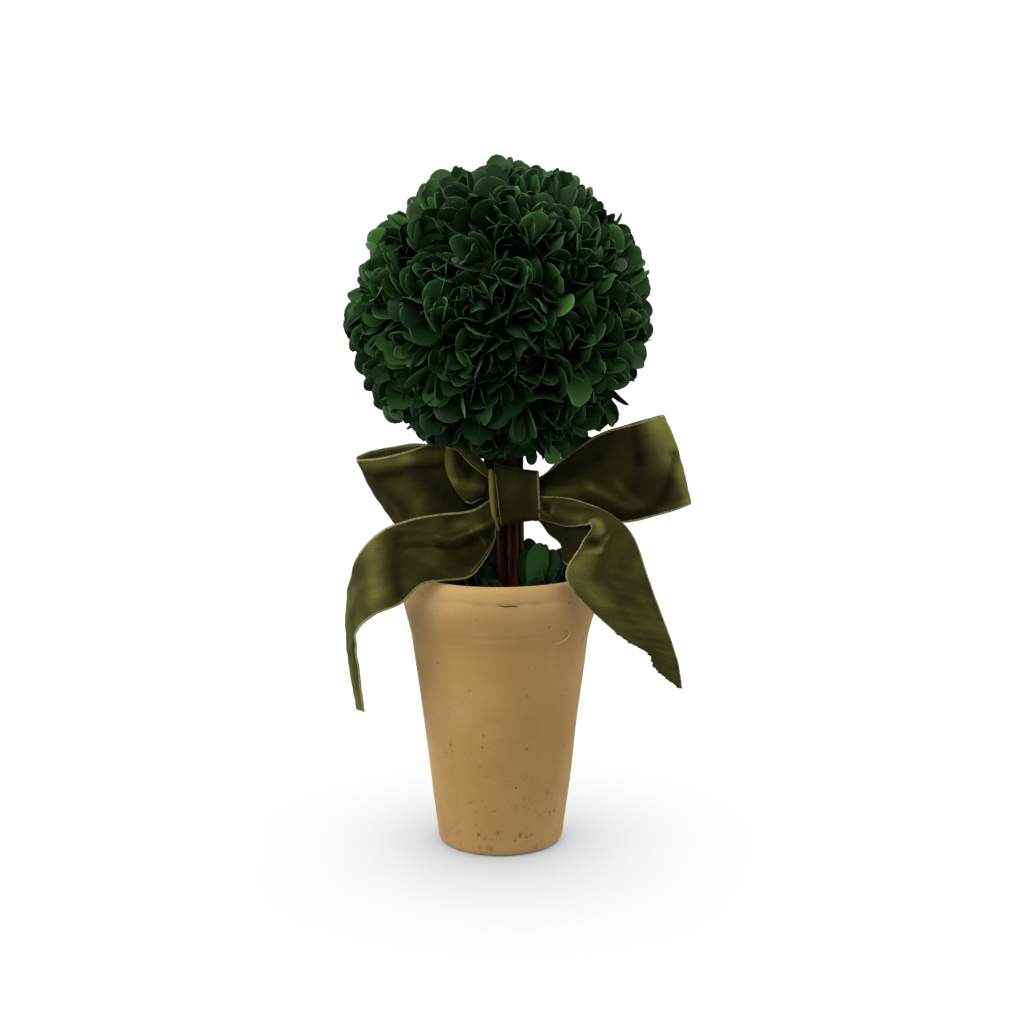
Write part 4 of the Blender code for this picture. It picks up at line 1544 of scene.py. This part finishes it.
    def faces(self, rows: int) -> Faces:
        """The quads of the wall, and the fans of triangles round the last two points.

        Args:
            rows: Number of rings.

        Returns:
            The groups of faces.
        """
        quads = grid_quads(rows, self.columns, closed_columns=True)
        first = np.arange(self.columns)
        last = first + (rows - 1) * self.columns
        centre = np.full(self.columns, rows * self.columns)
        inner_fan = np.stack([first, np.roll(first, -1), centre], axis=-1)
        outer_fan = np.stack([np.roll(last, -1), last, centre + 1], axis=-1)
        return [(quads[:, ::-1], 0), (inner_fan, 0), (outer_fan, 0)]

    def grime_and_painted_light(self, around: Array, tall: Array, ring: Array) -> Array:
        """Painted light on the rim under the ribbons, which lifts their shadows, grime that gathers at the foot
        in patches, and darkening along the groove at the front and towards the foot.

        Args:
            around: Angle of each point.
            tall: Height of each point.
            ring: Place of each point.

        Returns:
            The darkness, which is below zero where light is painted on.
        """
        # Painted light on the rim under the left and the right ribbon, which lifts their shadows.
        left = bump(angle_from(around, 222), 0.42) * bump(tall - 0.138, 0.012)
        right = bump(angle_from(around, 315), 0.3) * bump(tall - 0.138, 0.012)
        grime = bump(tall - 0.004, 0.01) * np.clip(ripples(ring, 0.02, 8), 0, 1) * 0.16
        front = bump(angle_from(around, -84), 0.75) * np.clip(0.25 + ripples(ring, 0.011, 9), 0, 1)
        crevice = bump(tall - 0.1374, 0.0013) * front * 0.34
        # Darker towards the foot, most on the front left.
        darker_low = bump(tall, 0.045) * (0.03 + 0.15 * bump(angle_from(around, 212), 0.8))
        return grime + crevice + darker_low - 0.64 * left - 0.12 * right

    def moss_surface(self) -> Shell:
        """The moss in the pot: a disc over radius and angle that rises and falls, closed by a flat underside.

        Returns:
            A closed surface.
        """
        reach = self.inside(self.fill_top) - 0.0005
        around, radius = np.meshgrid(full_turn(140), np.linspace(0.02, 1, 60) * reach)
        flat = about_z(radius, around, 0.0)
        lumps = ripples(flat, 0.016, 11) * 0.0008 + ripples(flat, 0.0045, 12, 24) * 0.0006
        top = about_z(radius, around, self.fill_top + lumps - 0.0012 * bump(radius - reach, 0.002))
        under = top[-1:] * [0.985, 0.985, 0] + [0, 0, self.fill_top - self.fill_depth]
        grid = np.concatenate([top, under])
        return Shell(grid.reshape(-1, 3), ringed(*grid.shape[:2])).turned_outwards()

    def strands(self) -> Shell:
        """Loose strands on the moss: thin three-sided wisps that arch from one end to the other.

        Returns:
            The wisps.
        """
        count, rows = self.strand_count, 4
        rng = np.random.default_rng(41)
        reach = (self.inside(self.fill_top) - 0.004) * np.sqrt(rng.uniform(0.03, 1, count))
        start = about_z(reach, rng.uniform(0, 2 * math.pi, count), self.fill_top)
        way = about_z(1.0, rng.uniform(0, 2 * math.pi, count), 0.0)
        length = rng.uniform(0.003, 0.008, (count, 1))
        share = np.linspace(0, 1, rows)
        path = start[:, None] + way[:, None] * (length * (share - 0.5))[..., None]
        path[..., 2] += np.sin(math.pi * share) * rng.uniform(0.0006, 0.0022, (count, 1))
        limit = self.inside(self.fill_top) - 0.002
        away = np.linalg.norm(path[..., :2], axis=-1, keepdims=True)
        path[..., :2] *= np.minimum(1, limit / np.maximum(away, 1e-6))
        upwards = np.broadcast_to(Z_AXIS, way.shape)
        return wisps(path, np.cross(upwards, way), upwards, np.full(rows, self.strand_radius), 3)

    def sliver(self, places: Sequence[Pair], thick: float) -> Shell:
        """A thin sliver that lies half sunk in the outer wall, along a path of angles and heights.

        Args:
            places: Angle in degrees and height in metres of each station.
            thick: Its greatest radius.

        Returns:
            A closed tube, pointed at both ends.
        """
        angle, height = smooth_path(np.array(places), 40).T
        radius, up = self.profile()[self.inner_points:][::-1].T
        order = np.argsort(up, kind="stable")
        path = about_z(np.interp(height, up[order], radius[order]) + 0.00012, np.radians(angle), height)
        girth = thick * np.sin(math.pi * np.linspace(0.02, 0.98, 40))[:, None] ** 0.6 * np.ones((1, 6))
        return tube(path, Z_AXIS, girth)

    def dress(self) -> None:
        """Makes the pot's pieces."""
        make_piece("clay_pot", self.surface(), [ClayFinish().material()], ["pot"])
        dark = PlainFinish("crack", (0.1, 0.05, 0.018), 0.9, 0.05).material()
        pale = PlainFinish("scratch", (0.62, 0.47, 0.24), 0.9, 0.05).material()
        make_piece("pot_crack", self.sliver(self.crack, self.crack_radius), [dark], ["pot"])
        make_piece("pot_scratch", self.sliver(self.scratch, self.scratch_radius), [pale], ["pot"])
        moss = TangleFinish("moss", (0.006, 0.008, 0.003), (0.04, 0.042, 0.016)).material()
        make_piece("moss_bed", self.moss_surface(), [moss], ["pot_fill"])
        make_piece("moss_strands", self.strands(), [moss], ["pot_fill"])


# Plant


@dataclass
class Sticks:
    """The four bundled sticks that carry the ball."""

    axis_x: float = 0.0051
    spread: float = 0.0047
    count: int = 4
    radius: float = 0.003
    tip_share: float = 0.9
    bark_inset: float = 0.00012
    low: float = 0.1283
    high: float = 0.245
    first_angle: float = 20
    sway: float = 0.00022
    ridge: float = 0.0001
    buds: int = 4
    bud_height: float = 0.0004
    bud_share: float = 0.018

    def surface(self, number: int) -> Shell:
        """One stick: a tube that thins upwards, with ridges, slow bends and a swelling at each bud scar.

        Args:
            number: Which stick it is, from 0.

        Returns:
            The stick as a closed surface.
        """
        rows, columns = 180, 44
        rng = np.random.default_rng(60 + number)
        share = np.linspace(0, 1, rows)[:, None]
        turn = math.radians(self.first_angle) + 2 * math.pi * number / self.count
        path = about_z(self.spread, turn, self.low + (self.high - self.low) * share[:, 0])
        path[:, 0] += self.axis_x
        bends = share * rng.uniform(1, 2, 2) + rng.uniform(0, 1, 2)
        path[:, :2] += self.sway * np.sin(2 * math.pi * bends)
        angle = full_turn(columns)
        ridges = np.sin(7 * angle + 9 * share) + 0.8 * np.sin(13 * angle - 6 * share)
        radius = self.radius * (1 - (1 - self.tip_share) * share) - self.bark_inset + self.ridge * ridges
        for place in rng.uniform(0.06, 0.94, self.buds):
            side = 0.5 + 0.5 * np.cos(angle - rng.uniform(0, 2 * math.pi))
            radius = radius + self.bud_height * bump(share - place, self.bud_share) * side
        return tube(path, X_AXIS, radius)

    def dress(self) -> None:
        """Makes one piece of each stick."""
        bark = BarkFinish().material()
        for number in range(self.count):
            piece = f"stick_{number + 1}"
            make_piece(piece, self.surface(number), [bark], [f"stem_{number + 1}"])

    def clear_of(self, places: Array, gap: float) -> Array:
        """Whether each place is further from the bundle than the gap.

        Args:
            places: The places.
            gap: The gap.

        Returns:
            True or false for each place.
        """
        away = np.hypot(places[..., 0] - self.axis_x, places[..., 1])
        inside = (places[..., 2] > self.low) & (places[..., 2] < self.high)
        return (away > self.spread + self.radius + gap) | ~inside


@dataclass
class Foliage:
    """What the ball and the tufts share: the leaves' finishes, and the sticks and bow to keep clear of."""

    sticks: Sticks
    bow: Array
    stick_gap: float = 0.0012
    bow_gap: float = 0.0026
    bow_top: float = 0.236
    batch: int = 60

    def __post_init__(self) -> None:
        """Makes the finishes."""
        self.finishes = {tint: tint.materials() for tint in LeafTint}

    def free(self, leaves: Leaves) -> Array:
        """Whether each leaf keeps clear of the sticks and the bow.

        Args:
            leaves: The leaves.

        Returns:
            True or false for each leaf.
        """
        probes = leaves.probes()
        free = self.sticks.clear_of(probes, self.stick_gap).all(axis=1)
        low = np.flatnonzero(probes[..., 2].min(axis=1) < self.bow_top)
        for some in np.array_split(low, max(1, len(low) // self.batch)):
            gaps = np.linalg.norm(probes[some][:, :, None] - self.bow, axis=-1)
            free[some] &= gaps.min(axis=(1, 2)) > self.bow_gap
        return free

    def dress(self, name: str, leaves: Leaves, dealt: Array, nodes: Sequence[str]) -> None:
        """Makes one piece of the leaves of each tint.

        Args:
            name: Start of the pieces' names.
            leaves: The leaves.
            dealt: The number of each leaf's tint.
            nodes: Solids that the pieces replace.
        """
        for tint in LeafTint:
            group = leaves.kept(dealt == tint.number)
            if len(group.foot):
                shell = group.surface(LeafShape())
                make_piece(f"{name}_{tint.name.lower()}", shell, self.finishes[tint], nodes)


@dataclass
class LeafBall:
    """The clipped ball: sprays of leaves whose tips all end near one radius, on twigs out of a dark heart.

    The lobes are angles in degrees round the ball, seen from the front, and how far the outline stands out
    there. An overhang is a direction, how far the outline stands out there, and its width in radians. The
    single leaves of another tint are given by their places right of the centre and above it, and the hanging
    leaves by their feet and tips, all in millimetres.
    """

    centre: Place = (0.0004, 0.0, 0.2804)
    radius: float = 0.0786
    heart_radius: float = 0.05
    foot_reach: float = 0.055
    sprays: int = 276
    lean: float = 0.2
    clumps: int = 64
    clump_lean: float = 0.28
    clump_pull: float = 0.2
    sinking: float = 0.012
    standing_out: float = 0.0014
    twig_radius: float = 0.0007
    bottom: float = 0.21
    lobes: Pairs = (
        (0, 0.0004), (92, -0.0024), (190, 0.0014), (220, 0.0012), (340, 0.001), (133, -0.003), (60, 0.0006)
    )
    lobe_width: float = 0.3
    overhangs: tuple[tuple[Place, float, float], ...] = (
        ((43, -24, -72), 0.007, 0.28), ((-13, -20, -70), -0.0055, 0.16), ((12, -22, -70), -0.002, 0.14)
    )
    tint_seed: int = 3
    singles: tuple[tuple[LeafTint, Pairs], ...] = (
        (LeafTint.YELLOW, ((50, 57), (68, 2))),
        (LeafTint.DUSTY, ((-22.5, 59.5), (24, 69.5), (-56, 38.5), (52, 34))),
        (LeafTint.BRIGHT, (
            (-31, 67.5), (-35, 66), (11, 47), (-69, 0), (-73, 5), (-69, -9), (-74, -9.5), (-58.5, -28.5),
            (37, -43.5), (34.5, 15.5), (56, -36), (-55, 13.5)
        ))
    )
    hanging: tuple[tuple[Place, Place, float, float, LeafTint], ...] = (
        ((-4.5, -7, 213), (-4.2, -10, 199.6), 9, 0.1, LeafTint.BLUE),
        ((-1.5, -5, 214), (-1, -9.5, 201), 8, 0.4, LeafTint.BLUE),
        ((-10.5, -7, 215), (-8.6, -9, 206), 6, -0.2, LeafTint.DEEP),
        ((4, -8, 215), (3.6, -9.5, 205.5), 8.5, -0.3, LeafTint.DEEP),
        ((24.2, -28, 215.5), (28.2, -27, 205.4), 9, 0.2, LeafTint.BRIGHT),
        ((15.4, -12, 215), (16.2, -16, 203.5), 7, -0.5, LeafTint.DEEP),
    )
    bare: tuple[Place, ...] = (
        (0.99, -0.12, -0.02), (0.93, 0.02, -0.34), (0.4, 0.18, 0.9), (-0.45, 0.78, -0.43),
        (-0.43, 0.1, -0.9)
    )
    seed: int = 7
    bare_seed: int = 11
    rule: SprayRule = SprayRule((
        LeafRow(0.0, 0.0012, 34, 0.0228, 0.016), LeafRow(0.0032, 0.0012, 25, 0.0232, 0.0164),
        LeafRow(0.007, 0.0011, 15, 0.0214, 0.0148), LeafRow(0.0112, 0.0008, 7, 0.0162, 0.0098)
    ))

    @property
    def middle(self) -> Array:
        """The centre as an array."""
        return np.array(self.centre)

    def directions(self, rng: np.random.Generator) -> Array:
        """Even directions on a golden spiral, each moved a little.

        Args:
            rng: Source of the moves.

        Returns:
            A direction for each spray.
        """
        golden = math.pi * (3 - math.sqrt(5))
        number = np.arange(self.sprays)
        height = 1 - 2 * (number + 0.5) / self.sprays
        even = about_z(np.sqrt(1 - height**2), golden * number, height)
        return unit(even + rng.uniform(-1, 1, even.shape) * 0.045)

    def outline(self, direction: Array) -> Array:
        """Distance from the centre to the leaf tips: the radius, with the lobes and the overhangs.

        Args:
            direction: Directions out of the centre.

        Returns:
            The distance in each.
        """
        turn = np.arctan2(direction[..., 2], direction[..., 0])
        flat = np.hypot(direction[..., 0], direction[..., 2])
        swell = sum(amount * bump(angle_from(turn, at), self.lobe_width) for at, amount in self.lobes)
        for towards, amount, width in self.overhangs:
            away = np.arccos(np.clip(direction @ unit(np.array(towards)), -1, 1))
            swell = swell + amount * bump(away, width)
        return self.radius + swell * flat + 0.0009 * ripples(direction, 0.9, 5)

    def leaves(self, rng: np.random.Generator) -> tuple[Leaves, Array, Array]:
        """The ball's leaves, and the foot and the axis of each spray.

        Sprays that grow near each other lean off the outward direction together, and each a little by itself.
        A spray is then pushed in or out till its furthest leaf meets the outline or ends a little inside it.
        Directions that would stay bare get a spray of their own.

        Args:
            rng: Source of the random leans and sizes.

        Returns:
            The leaves, the feet and the axes.
        """
        direction = self.directions(rng)
        clump = unit(rng.normal(0, 1, (self.clumps, 3)))
        nearest = np.argmax(direction @ clump.T, axis=1)
        direction = unit(direction * (1 - self.clump_pull) + clump[nearest] * self.clump_pull)
        shared = rng.normal(0, self.clump_lean, clump.shape)[nearest]
        axes = unit(direction + shared + rng.normal(0, self.lean, direction.shape))
        scale = rng.uniform(0.82, 1.16, self.sprays)
        leaves = self.rule.grow(self.middle + direction * self.foot_reach, axes, scale, rng)
        limb = np.hypot(direction[:, 0], direction[:, 2]) ** 4
        sunk = rng.uniform(0, 1, self.sprays) ** 3 * self.sinking * (1 - 0.55 * limb) - self.standing_out
        bare = unit(np.array(self.bare))
        own = np.random.default_rng(self.bare_seed)
        size = own.uniform(0.95, 1.1, len(bare))
        more = self.rule.grow(self.middle + bare * self.foot_reach, bare, size, own)
        leaves = leaves.joined_with(more)
        axes = np.concatenate([axes, bare])
        direction = np.concatenate([direction, bare])
        sunk = np.append(sunk, np.full(len(bare), 0.001))
        feet = self.middle + direction * self.foot_reach
        for _ in range(2):
            beyond = self.beyond(leaves).reshape(len(feet), -1).max(axis=1) + sunk
            shift = -direction * beyond[:, None]
            leaves.foot = leaves.foot + shift[leaves.spray]
            feet = feet + shift
        return leaves, feet, axes

    def beyond(self, leaves: Leaves) -> Array:
        """How far each leaf stands out past the ball's outline, below zero for one that stays inside."""
        away = leaves.probes() - self.middle
        return (np.linalg.norm(away, axis=-1) - self.outline(unit(away))).max(axis=1)

    def heart(self) -> Shell:
        """The heart, near black as painted shade: a sphere over two angles, with a rough surface.

        Returns:
            A closed surface.
        """
        rows, columns = 70, 120
        polar = np.linspace(0.02, math.pi - 0.02, rows)[:, None]
        direction = about_z(np.sin(polar), full_turn(columns), np.cos(polar))
        rough = 0.0012 * ripples(direction, 0.35, 15) + 0.0007 * ripples(direction, 0.1, 16, 30)
        points = self.middle + direction * (self.heart_radius + rough)[..., None]
        return Shell(points.reshape(-1, 3), ringed(rows, columns)).turned_outwards()

    def twigs(self, feet: Array, axes: Array) -> Shell:
        """A thin five-sided twig for each spray, from the heart to the top pair of leaves.

        Args:
            feet: Lowest place of each spray.
            axes: Direction of each spray.

        Returns:
            The twigs.
        """
        inward = unit(feet - self.middle)
        start = self.middle + inward * (self.heart_radius - 0.002)
        bend = feet - inward * 0.001
        path = np.stack([start, (start + bend) / 2, bend, feet + axes * 0.011], axis=1)
        first = unit(np.cross(axes, [0.31, 0.52, 0.8]))
        radius = self.twig_radius * (1 - 0.45 * np.array([0.0, 0.4, 0.75, 1.0]))
        return wisps(path, first, np.cross(axes, first), radius, 5)

    def tints(self, leaves: Leaves, feet: Array) -> Array:
        """Deals the tints, paler where the crown is lit, and gives single leaves the tints stated for them.

        Args:
            leaves: The leaves that are kept.
            feet: Lowest place of each spray.

        Returns:
            The number of the tint of each leaf, and then of each hanging leaf.
        """
        outward = unit(feet - self.middle)
        lit = 0.25 * outward[:, 2] + 0.45 * np.hypot(outward[:, 0], outward[:, 2]) ** 4
        dealt = deal_tints(leaves, lit, np.random.default_rng(self.tint_seed))
        tips = leaves.foot + leaves.along * (leaves.length * 0.8)[:, None] - self.middle
        for tint, places in self.singles:
            for right, up in places:
                place = np.array([right, 0.0, up]) * MM
                place[1] = -math.sqrt(max(0.0, self.radius**2 - place @ place))
                close = np.linalg.norm(tips - place, axis=1) - 0.8 * np.linalg.norm(tips, axis=1)
                dealt[np.argmin(close)] = tint.number
        return np.append(dealt, [row[-1].number for row in self.hanging])

    def dress(self, foliage: Foliage) -> None:
        """Makes the ball's pieces.

        Args:
            foliage: The leaves' finishes and surroundings.
        """
        leaves, feet, axes = self.leaves(np.random.default_rng(self.seed))
        keep = foliage.free(leaves)
        LOG.info("ball: %d leaves of %d", keep.sum(), len(keep))
        leaves = leaves.kept(keep)
        dealt = self.tints(leaves, feet)
        nodes = ["foliage_ball"]
        foliage.dress("ball_leaves", leaves.joined_with(stated(self.hanging)), dealt, nodes)
        # The heart's near-black colour is painted shade for the inside of the ball.
        heart = TangleFinish("heart", (0.0012, 0.003, 0.0012), (0.006, 0.012, 0.005)).material()
        make_piece("ball_heart", self.heart(), [heart], nodes)
        twig = PlainFinish("twig", (0.012, 0.014, 0.006), 0.7).material()
        clear = foliage.sticks.clear_of(feet, 0.002) | (feet[:, 2] >= self.bottom)
        make_piece("ball_twigs", self.twigs(feet[clear], axes[clear]), [twig], nodes)


@dataclass
class Tufts:
    """The leaf tufts that stand on the fill round the sticks, each with its foot, lean and height.

    A placed leaf is given by its tuft, its foot, its tip and its width in millimetres, and its turn. A tier
    is its share of the tuft's height, and the tilt and the number of its sprays.
    """

    feet: Pairs = (
        (0.024, -0.003), (-0.012, -0.003), (0.017, 0.02), (-0.011, 0.016), (0.003, -0.02)
    )
    leans: Pairs = ((0.22, 0), (-0.12, 0), (0.15, 0.2), (-0.15, 0.2), (0, -0.1))
    heights: tuple[float, ...] = (0.03, 0.028, 0.029, 0.03, 0.013)
    placed: tuple[tuple[int, Place, Place, float, float], ...] = (
        (0, (16.5, -9, 132), (21, -10, 162), 12.5, 0.12), (0, (22.5, -6, 132), (28, -6, 158), 11.5, -0.25),
        (0, (14, -2, 134), (14, -2, 157), 11, 0.35), (0, (25, 2, 134), (34, 3, 157), 12, 0.25),
        (3, (-6, 13, 134), (-6.5, 14.5, 160), 11.5, 0.2), (3, (-10, 15, 134), (-13.5, 17, 158), 11.5, -0.2),
        (3, (-2.5, 15, 134), (-1, 17, 160), 11, -0.3), (2, (17.5, 17, 134), (15, 18, 160), 11.5, 0.2),
        (3, (-2.8, 4, 147), (-6.4, 8, 165.5), 8, 0), (3, (-1.4, 6, 150), (-2.6, 9, 169.5), 7, 0.1),
        (1, (-23, -6, 133), (-26.5, -10, 150), 12, 0.1), (1, (-29, -8, 134), (-33, -12, 149.5), 12, -0.1)
    )
    tiers: tuple[tuple[float, float, int], ...] = ((1.0, 0.0, 1), (0.6, 0.4, 3), (0.2, 0.8, 4))
    base: float = 0.1283
    leaf: float = 0.0175
    wall: float = 0.044
    mouth: float = 0.1475
    front: float = -0.014
    front_height: float = 0.148
    long_leaf: float = 0.0295

    def leaves(self, number: int, rng: np.random.Generator) -> Leaves:
        """One tuft: a spray on top, and rings of side sprays that lean out more the lower they stand.

        Args:
            number: Which tuft it is, from 0.
            rng: Source of the random turns and sizes.

        Returns:
            The leaves.
        """
        foot = np.array([*self.feet[number], self.base])
        slope = np.array([*self.leans[number], 1.0])
        leaf = min(self.leaf, 0.62 * self.heights[number])
        core = self.heights[number] - leaf
        feet = []
        tilts = []
        for level, tilt, count in self.tiers:
            angle = rng.uniform(0, 1) + 2 * math.pi * np.arange(count) / count
            spoke = about_z(1.0, angle, 0.0)
            feet.append(foot + slope * (core * level - 0.002) + spoke * 0.002)
            tilts.append(spoke * tilt + slope)
        rows = (LeafRow(0.0, 0.0008, 26, leaf, 0.73 * leaf), LeafRow(0.001, 0.0005, 10, leaf, 0.68 * leaf))
        axes = unit(np.concatenate(tilts))
        return SprayRule(rows).grow(np.concatenate(feet), axes, rng.uniform(0.85, 1.0, len(axes)), rng)

    def inside(self, leaves: Leaves, height: float) -> Array:
        """Whether each leaf stays in the mouth of the pot, off the fill and low enough.

        Args:
            leaves: The leaves.
            height: Height of the tuft.

        Returns:
            True or false for each leaf.
        """
        x, y, z = np.moveaxis(leaves.probes(), -1, 0)
        free = (np.hypot(x, y) < self.wall) | (z > self.mouth)
        free &= (y > self.front) | (z < self.front_height)
        free &= (z > self.base) & (z < self.base + height + 0.001)
        return free.all(axis=1)

    def dress(self, foliage: Foliage) -> None:
        """Makes the tufts' pieces, with the leaves kept inside the pot's mouth.

        Args:
            foliage: The leaves' finishes and surroundings.
        """
        for number, height in enumerate(self.heights):
            rng = np.random.default_rng(700 + number)
            leaves = self.leaves(number, rng)
            leaves = leaves.kept(self.inside(leaves, height) & foliage.free(leaves))
            placed = [row[1:] for row in self.placed if row[0] == number]
            if placed:
                leaves = leaves.joined_with(stated(placed))
            dealt = deal_tints(leaves, np.zeros(leaves.spray.max() + 1), rng)
            dealt = np.minimum(dealt, LeafTint.DEEP.number)
            dealt[leaves.length > self.long_leaf] = LeafTint.MIDDLE.number
            foliage.dress(f"tuft_{number + 1}", leaves, dealt, [f"base_tuft_{number + 1}"])


# Studio


class Falls(Enum):
    """What a light falls on, as the link of the light to the floor."""

    ON_FLOOR = "INCLUDE"
    ON_OBJECT = "EXCLUDE"


@dataclass(frozen=True)
class Sun:
    """A broad soft light: where it comes from, its strength, its width in degrees, and what it falls on."""

    name: str
    place: Place
    strength: float
    width: float = 90
    falls: Falls = Falls.ON_OBJECT


@dataclass
class Studio:
    """The pale floor, the soft lights and the camera of the photograph."""

    camera_place: Place = (0.0061, -0.81, 0.295)
    camera_pitch: float = 8.3
    lens: float = 54.8
    floor_half: float = 12.0
    floor_drop: float = 0.00005
    floor_colour: Colour = (0.199, 0.201, 0.205)
    sky_front: float = 0.15
    sky_back: float = 1.45
    sky_seen: float = 1.1
    suns: tuple[Sun, ...] = (
        Sun("dome", (-0.22, -0.001, 1.0), 15.5, 179, Falls.ON_FLOOR),
        Sun("key", (-0.36, -0.48, 1.0), 2.3),
        Sun("side", (-1.0, -0.25, 0.25), 2.2),
        Sun("fill", (0.95, -0.2, 0.25), 0.9),
        Sun("top", (0.1, 0.5, 1.0), 1.2),
    )

    def camera(self) -> None:
        """Puts up the camera."""
        data = bpy.data.cameras.new("camera")
        data.lens = self.lens
        data.sensor_width = 36
        data.clip_start = 0.01
        camera = bpy.data.objects.new("camera", data)
        camera.location = self.camera_place
        camera.rotation_euler = (math.radians(90 - self.camera_pitch), 0, 0)
        bpy.context.scene.collection.objects.link(camera)
        bpy.context.scene.camera = camera

    def floor(self) -> bpy.types.Object:
        """Lays the floor: a wide flat sheet.

        Returns:
            The floor.
        """
        corners = np.array([(-1, -1, 0), (1, -1, 0), (1, 1, 0), (-1, 1, 0)]) * self.floor_half
        mesh = bpy.data.meshes.new("floor")
        mesh.from_pydata((corners - [0, 0, self.floor_drop]).tolist(), [], [(0, 1, 2, 3)])
        sheet = NodeSheet("floor")
        sheet.set(Base_Color=self.floor_colour, Roughness=0.9, Specular_IOR_Level=0.0)
        mesh.materials.append(sheet.material)
        floor = bpy.data.objects.new("floor", mesh)
        floor.visible_diffuse = False
        floor.visible_glossy = False
        bpy.context.scene.collection.objects.link(floor)
        return floor

    def hang(self, sun: Sun, floor: bpy.types.Object) -> None:
        """Hangs one light, for the object or for the floor.

        Args:
            sun: The light.
            floor: The floor.
        """
        data = bpy.data.lights.new(sun.name, "SUN")
        data.energy = sun.strength
        data.angle = math.radians(sun.width)
        lamp = bpy.data.objects.new(sun.name, data)
        x, y, z = sun.place
        lamp.rotation_euler = (math.atan2(math.hypot(x, y), z), 0, math.atan2(y, x) + math.pi / 2)
        bpy.context.scene.collection.objects.link(lamp)
        receivers = bpy.data.collections.new(sun.name)
        receivers.objects.link(floor)
        receivers.collection_objects[0].light_linking.link_state = sun.falls.value
        lamp.light_linking.receiver_collection = receivers

    def sky_light(self) -> None:
        """A white surround, which lights the object more from behind than from the front."""
        world = bpy.data.worlds.new("studio")
        world.use_nodes = True
        sky = NodeTree(world.node_tree)
        place = sky.node("TexCoord", {}).outputs["Generated"]
        back = sky.node("SeparateXYZ", {"Vector": place}).outputs["Y"]
        ends = {"From Min": -1.0, "To Min": self.sky_front, "To Max": self.sky_back}
        light = sky.node("MapRange", {"Value": back, **ends}).outputs["Result"]
        seen = sky.node("LightPath", {}).outputs["Is Camera Ray"]
        strength = sky.node("MapRange", {"Value": seen, "To Min": light, "To Max": self.sky_seen})
        shade = {"Color": (1.0, 1.0, 1.0), "Strength": strength.outputs["Result"]}
        sky.fill(sky.tree.nodes["Background"], shade)
        bpy.context.scene.world = world
        world.cycles_visibility.glossy = False

    def build(self) -> None:
        """Builds the studio and sets a plain colour transform."""
        self.camera()
        floor = self.floor()
        self.sky_light()
        for sun in self.suns:
            self.hang(sun, floor)
        bpy.context.scene.view_settings.view_transform = "Standard"


def main() -> None:
    """Builds every piece in order and logs the size of each."""
    logging.basicConfig(level=logging.INFO, format="%(name)s: %(message)s")
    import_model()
    Studio().build()
    Pot().dress()
    sticks = Sticks()
    sticks.dress()
    bow = Bow().dress()
    foliage = Foliage(sticks, bow)
    LeafBall().dress(foliage)
    Tufts().dress(foliage)


if __name__ == "__main__":
    main()
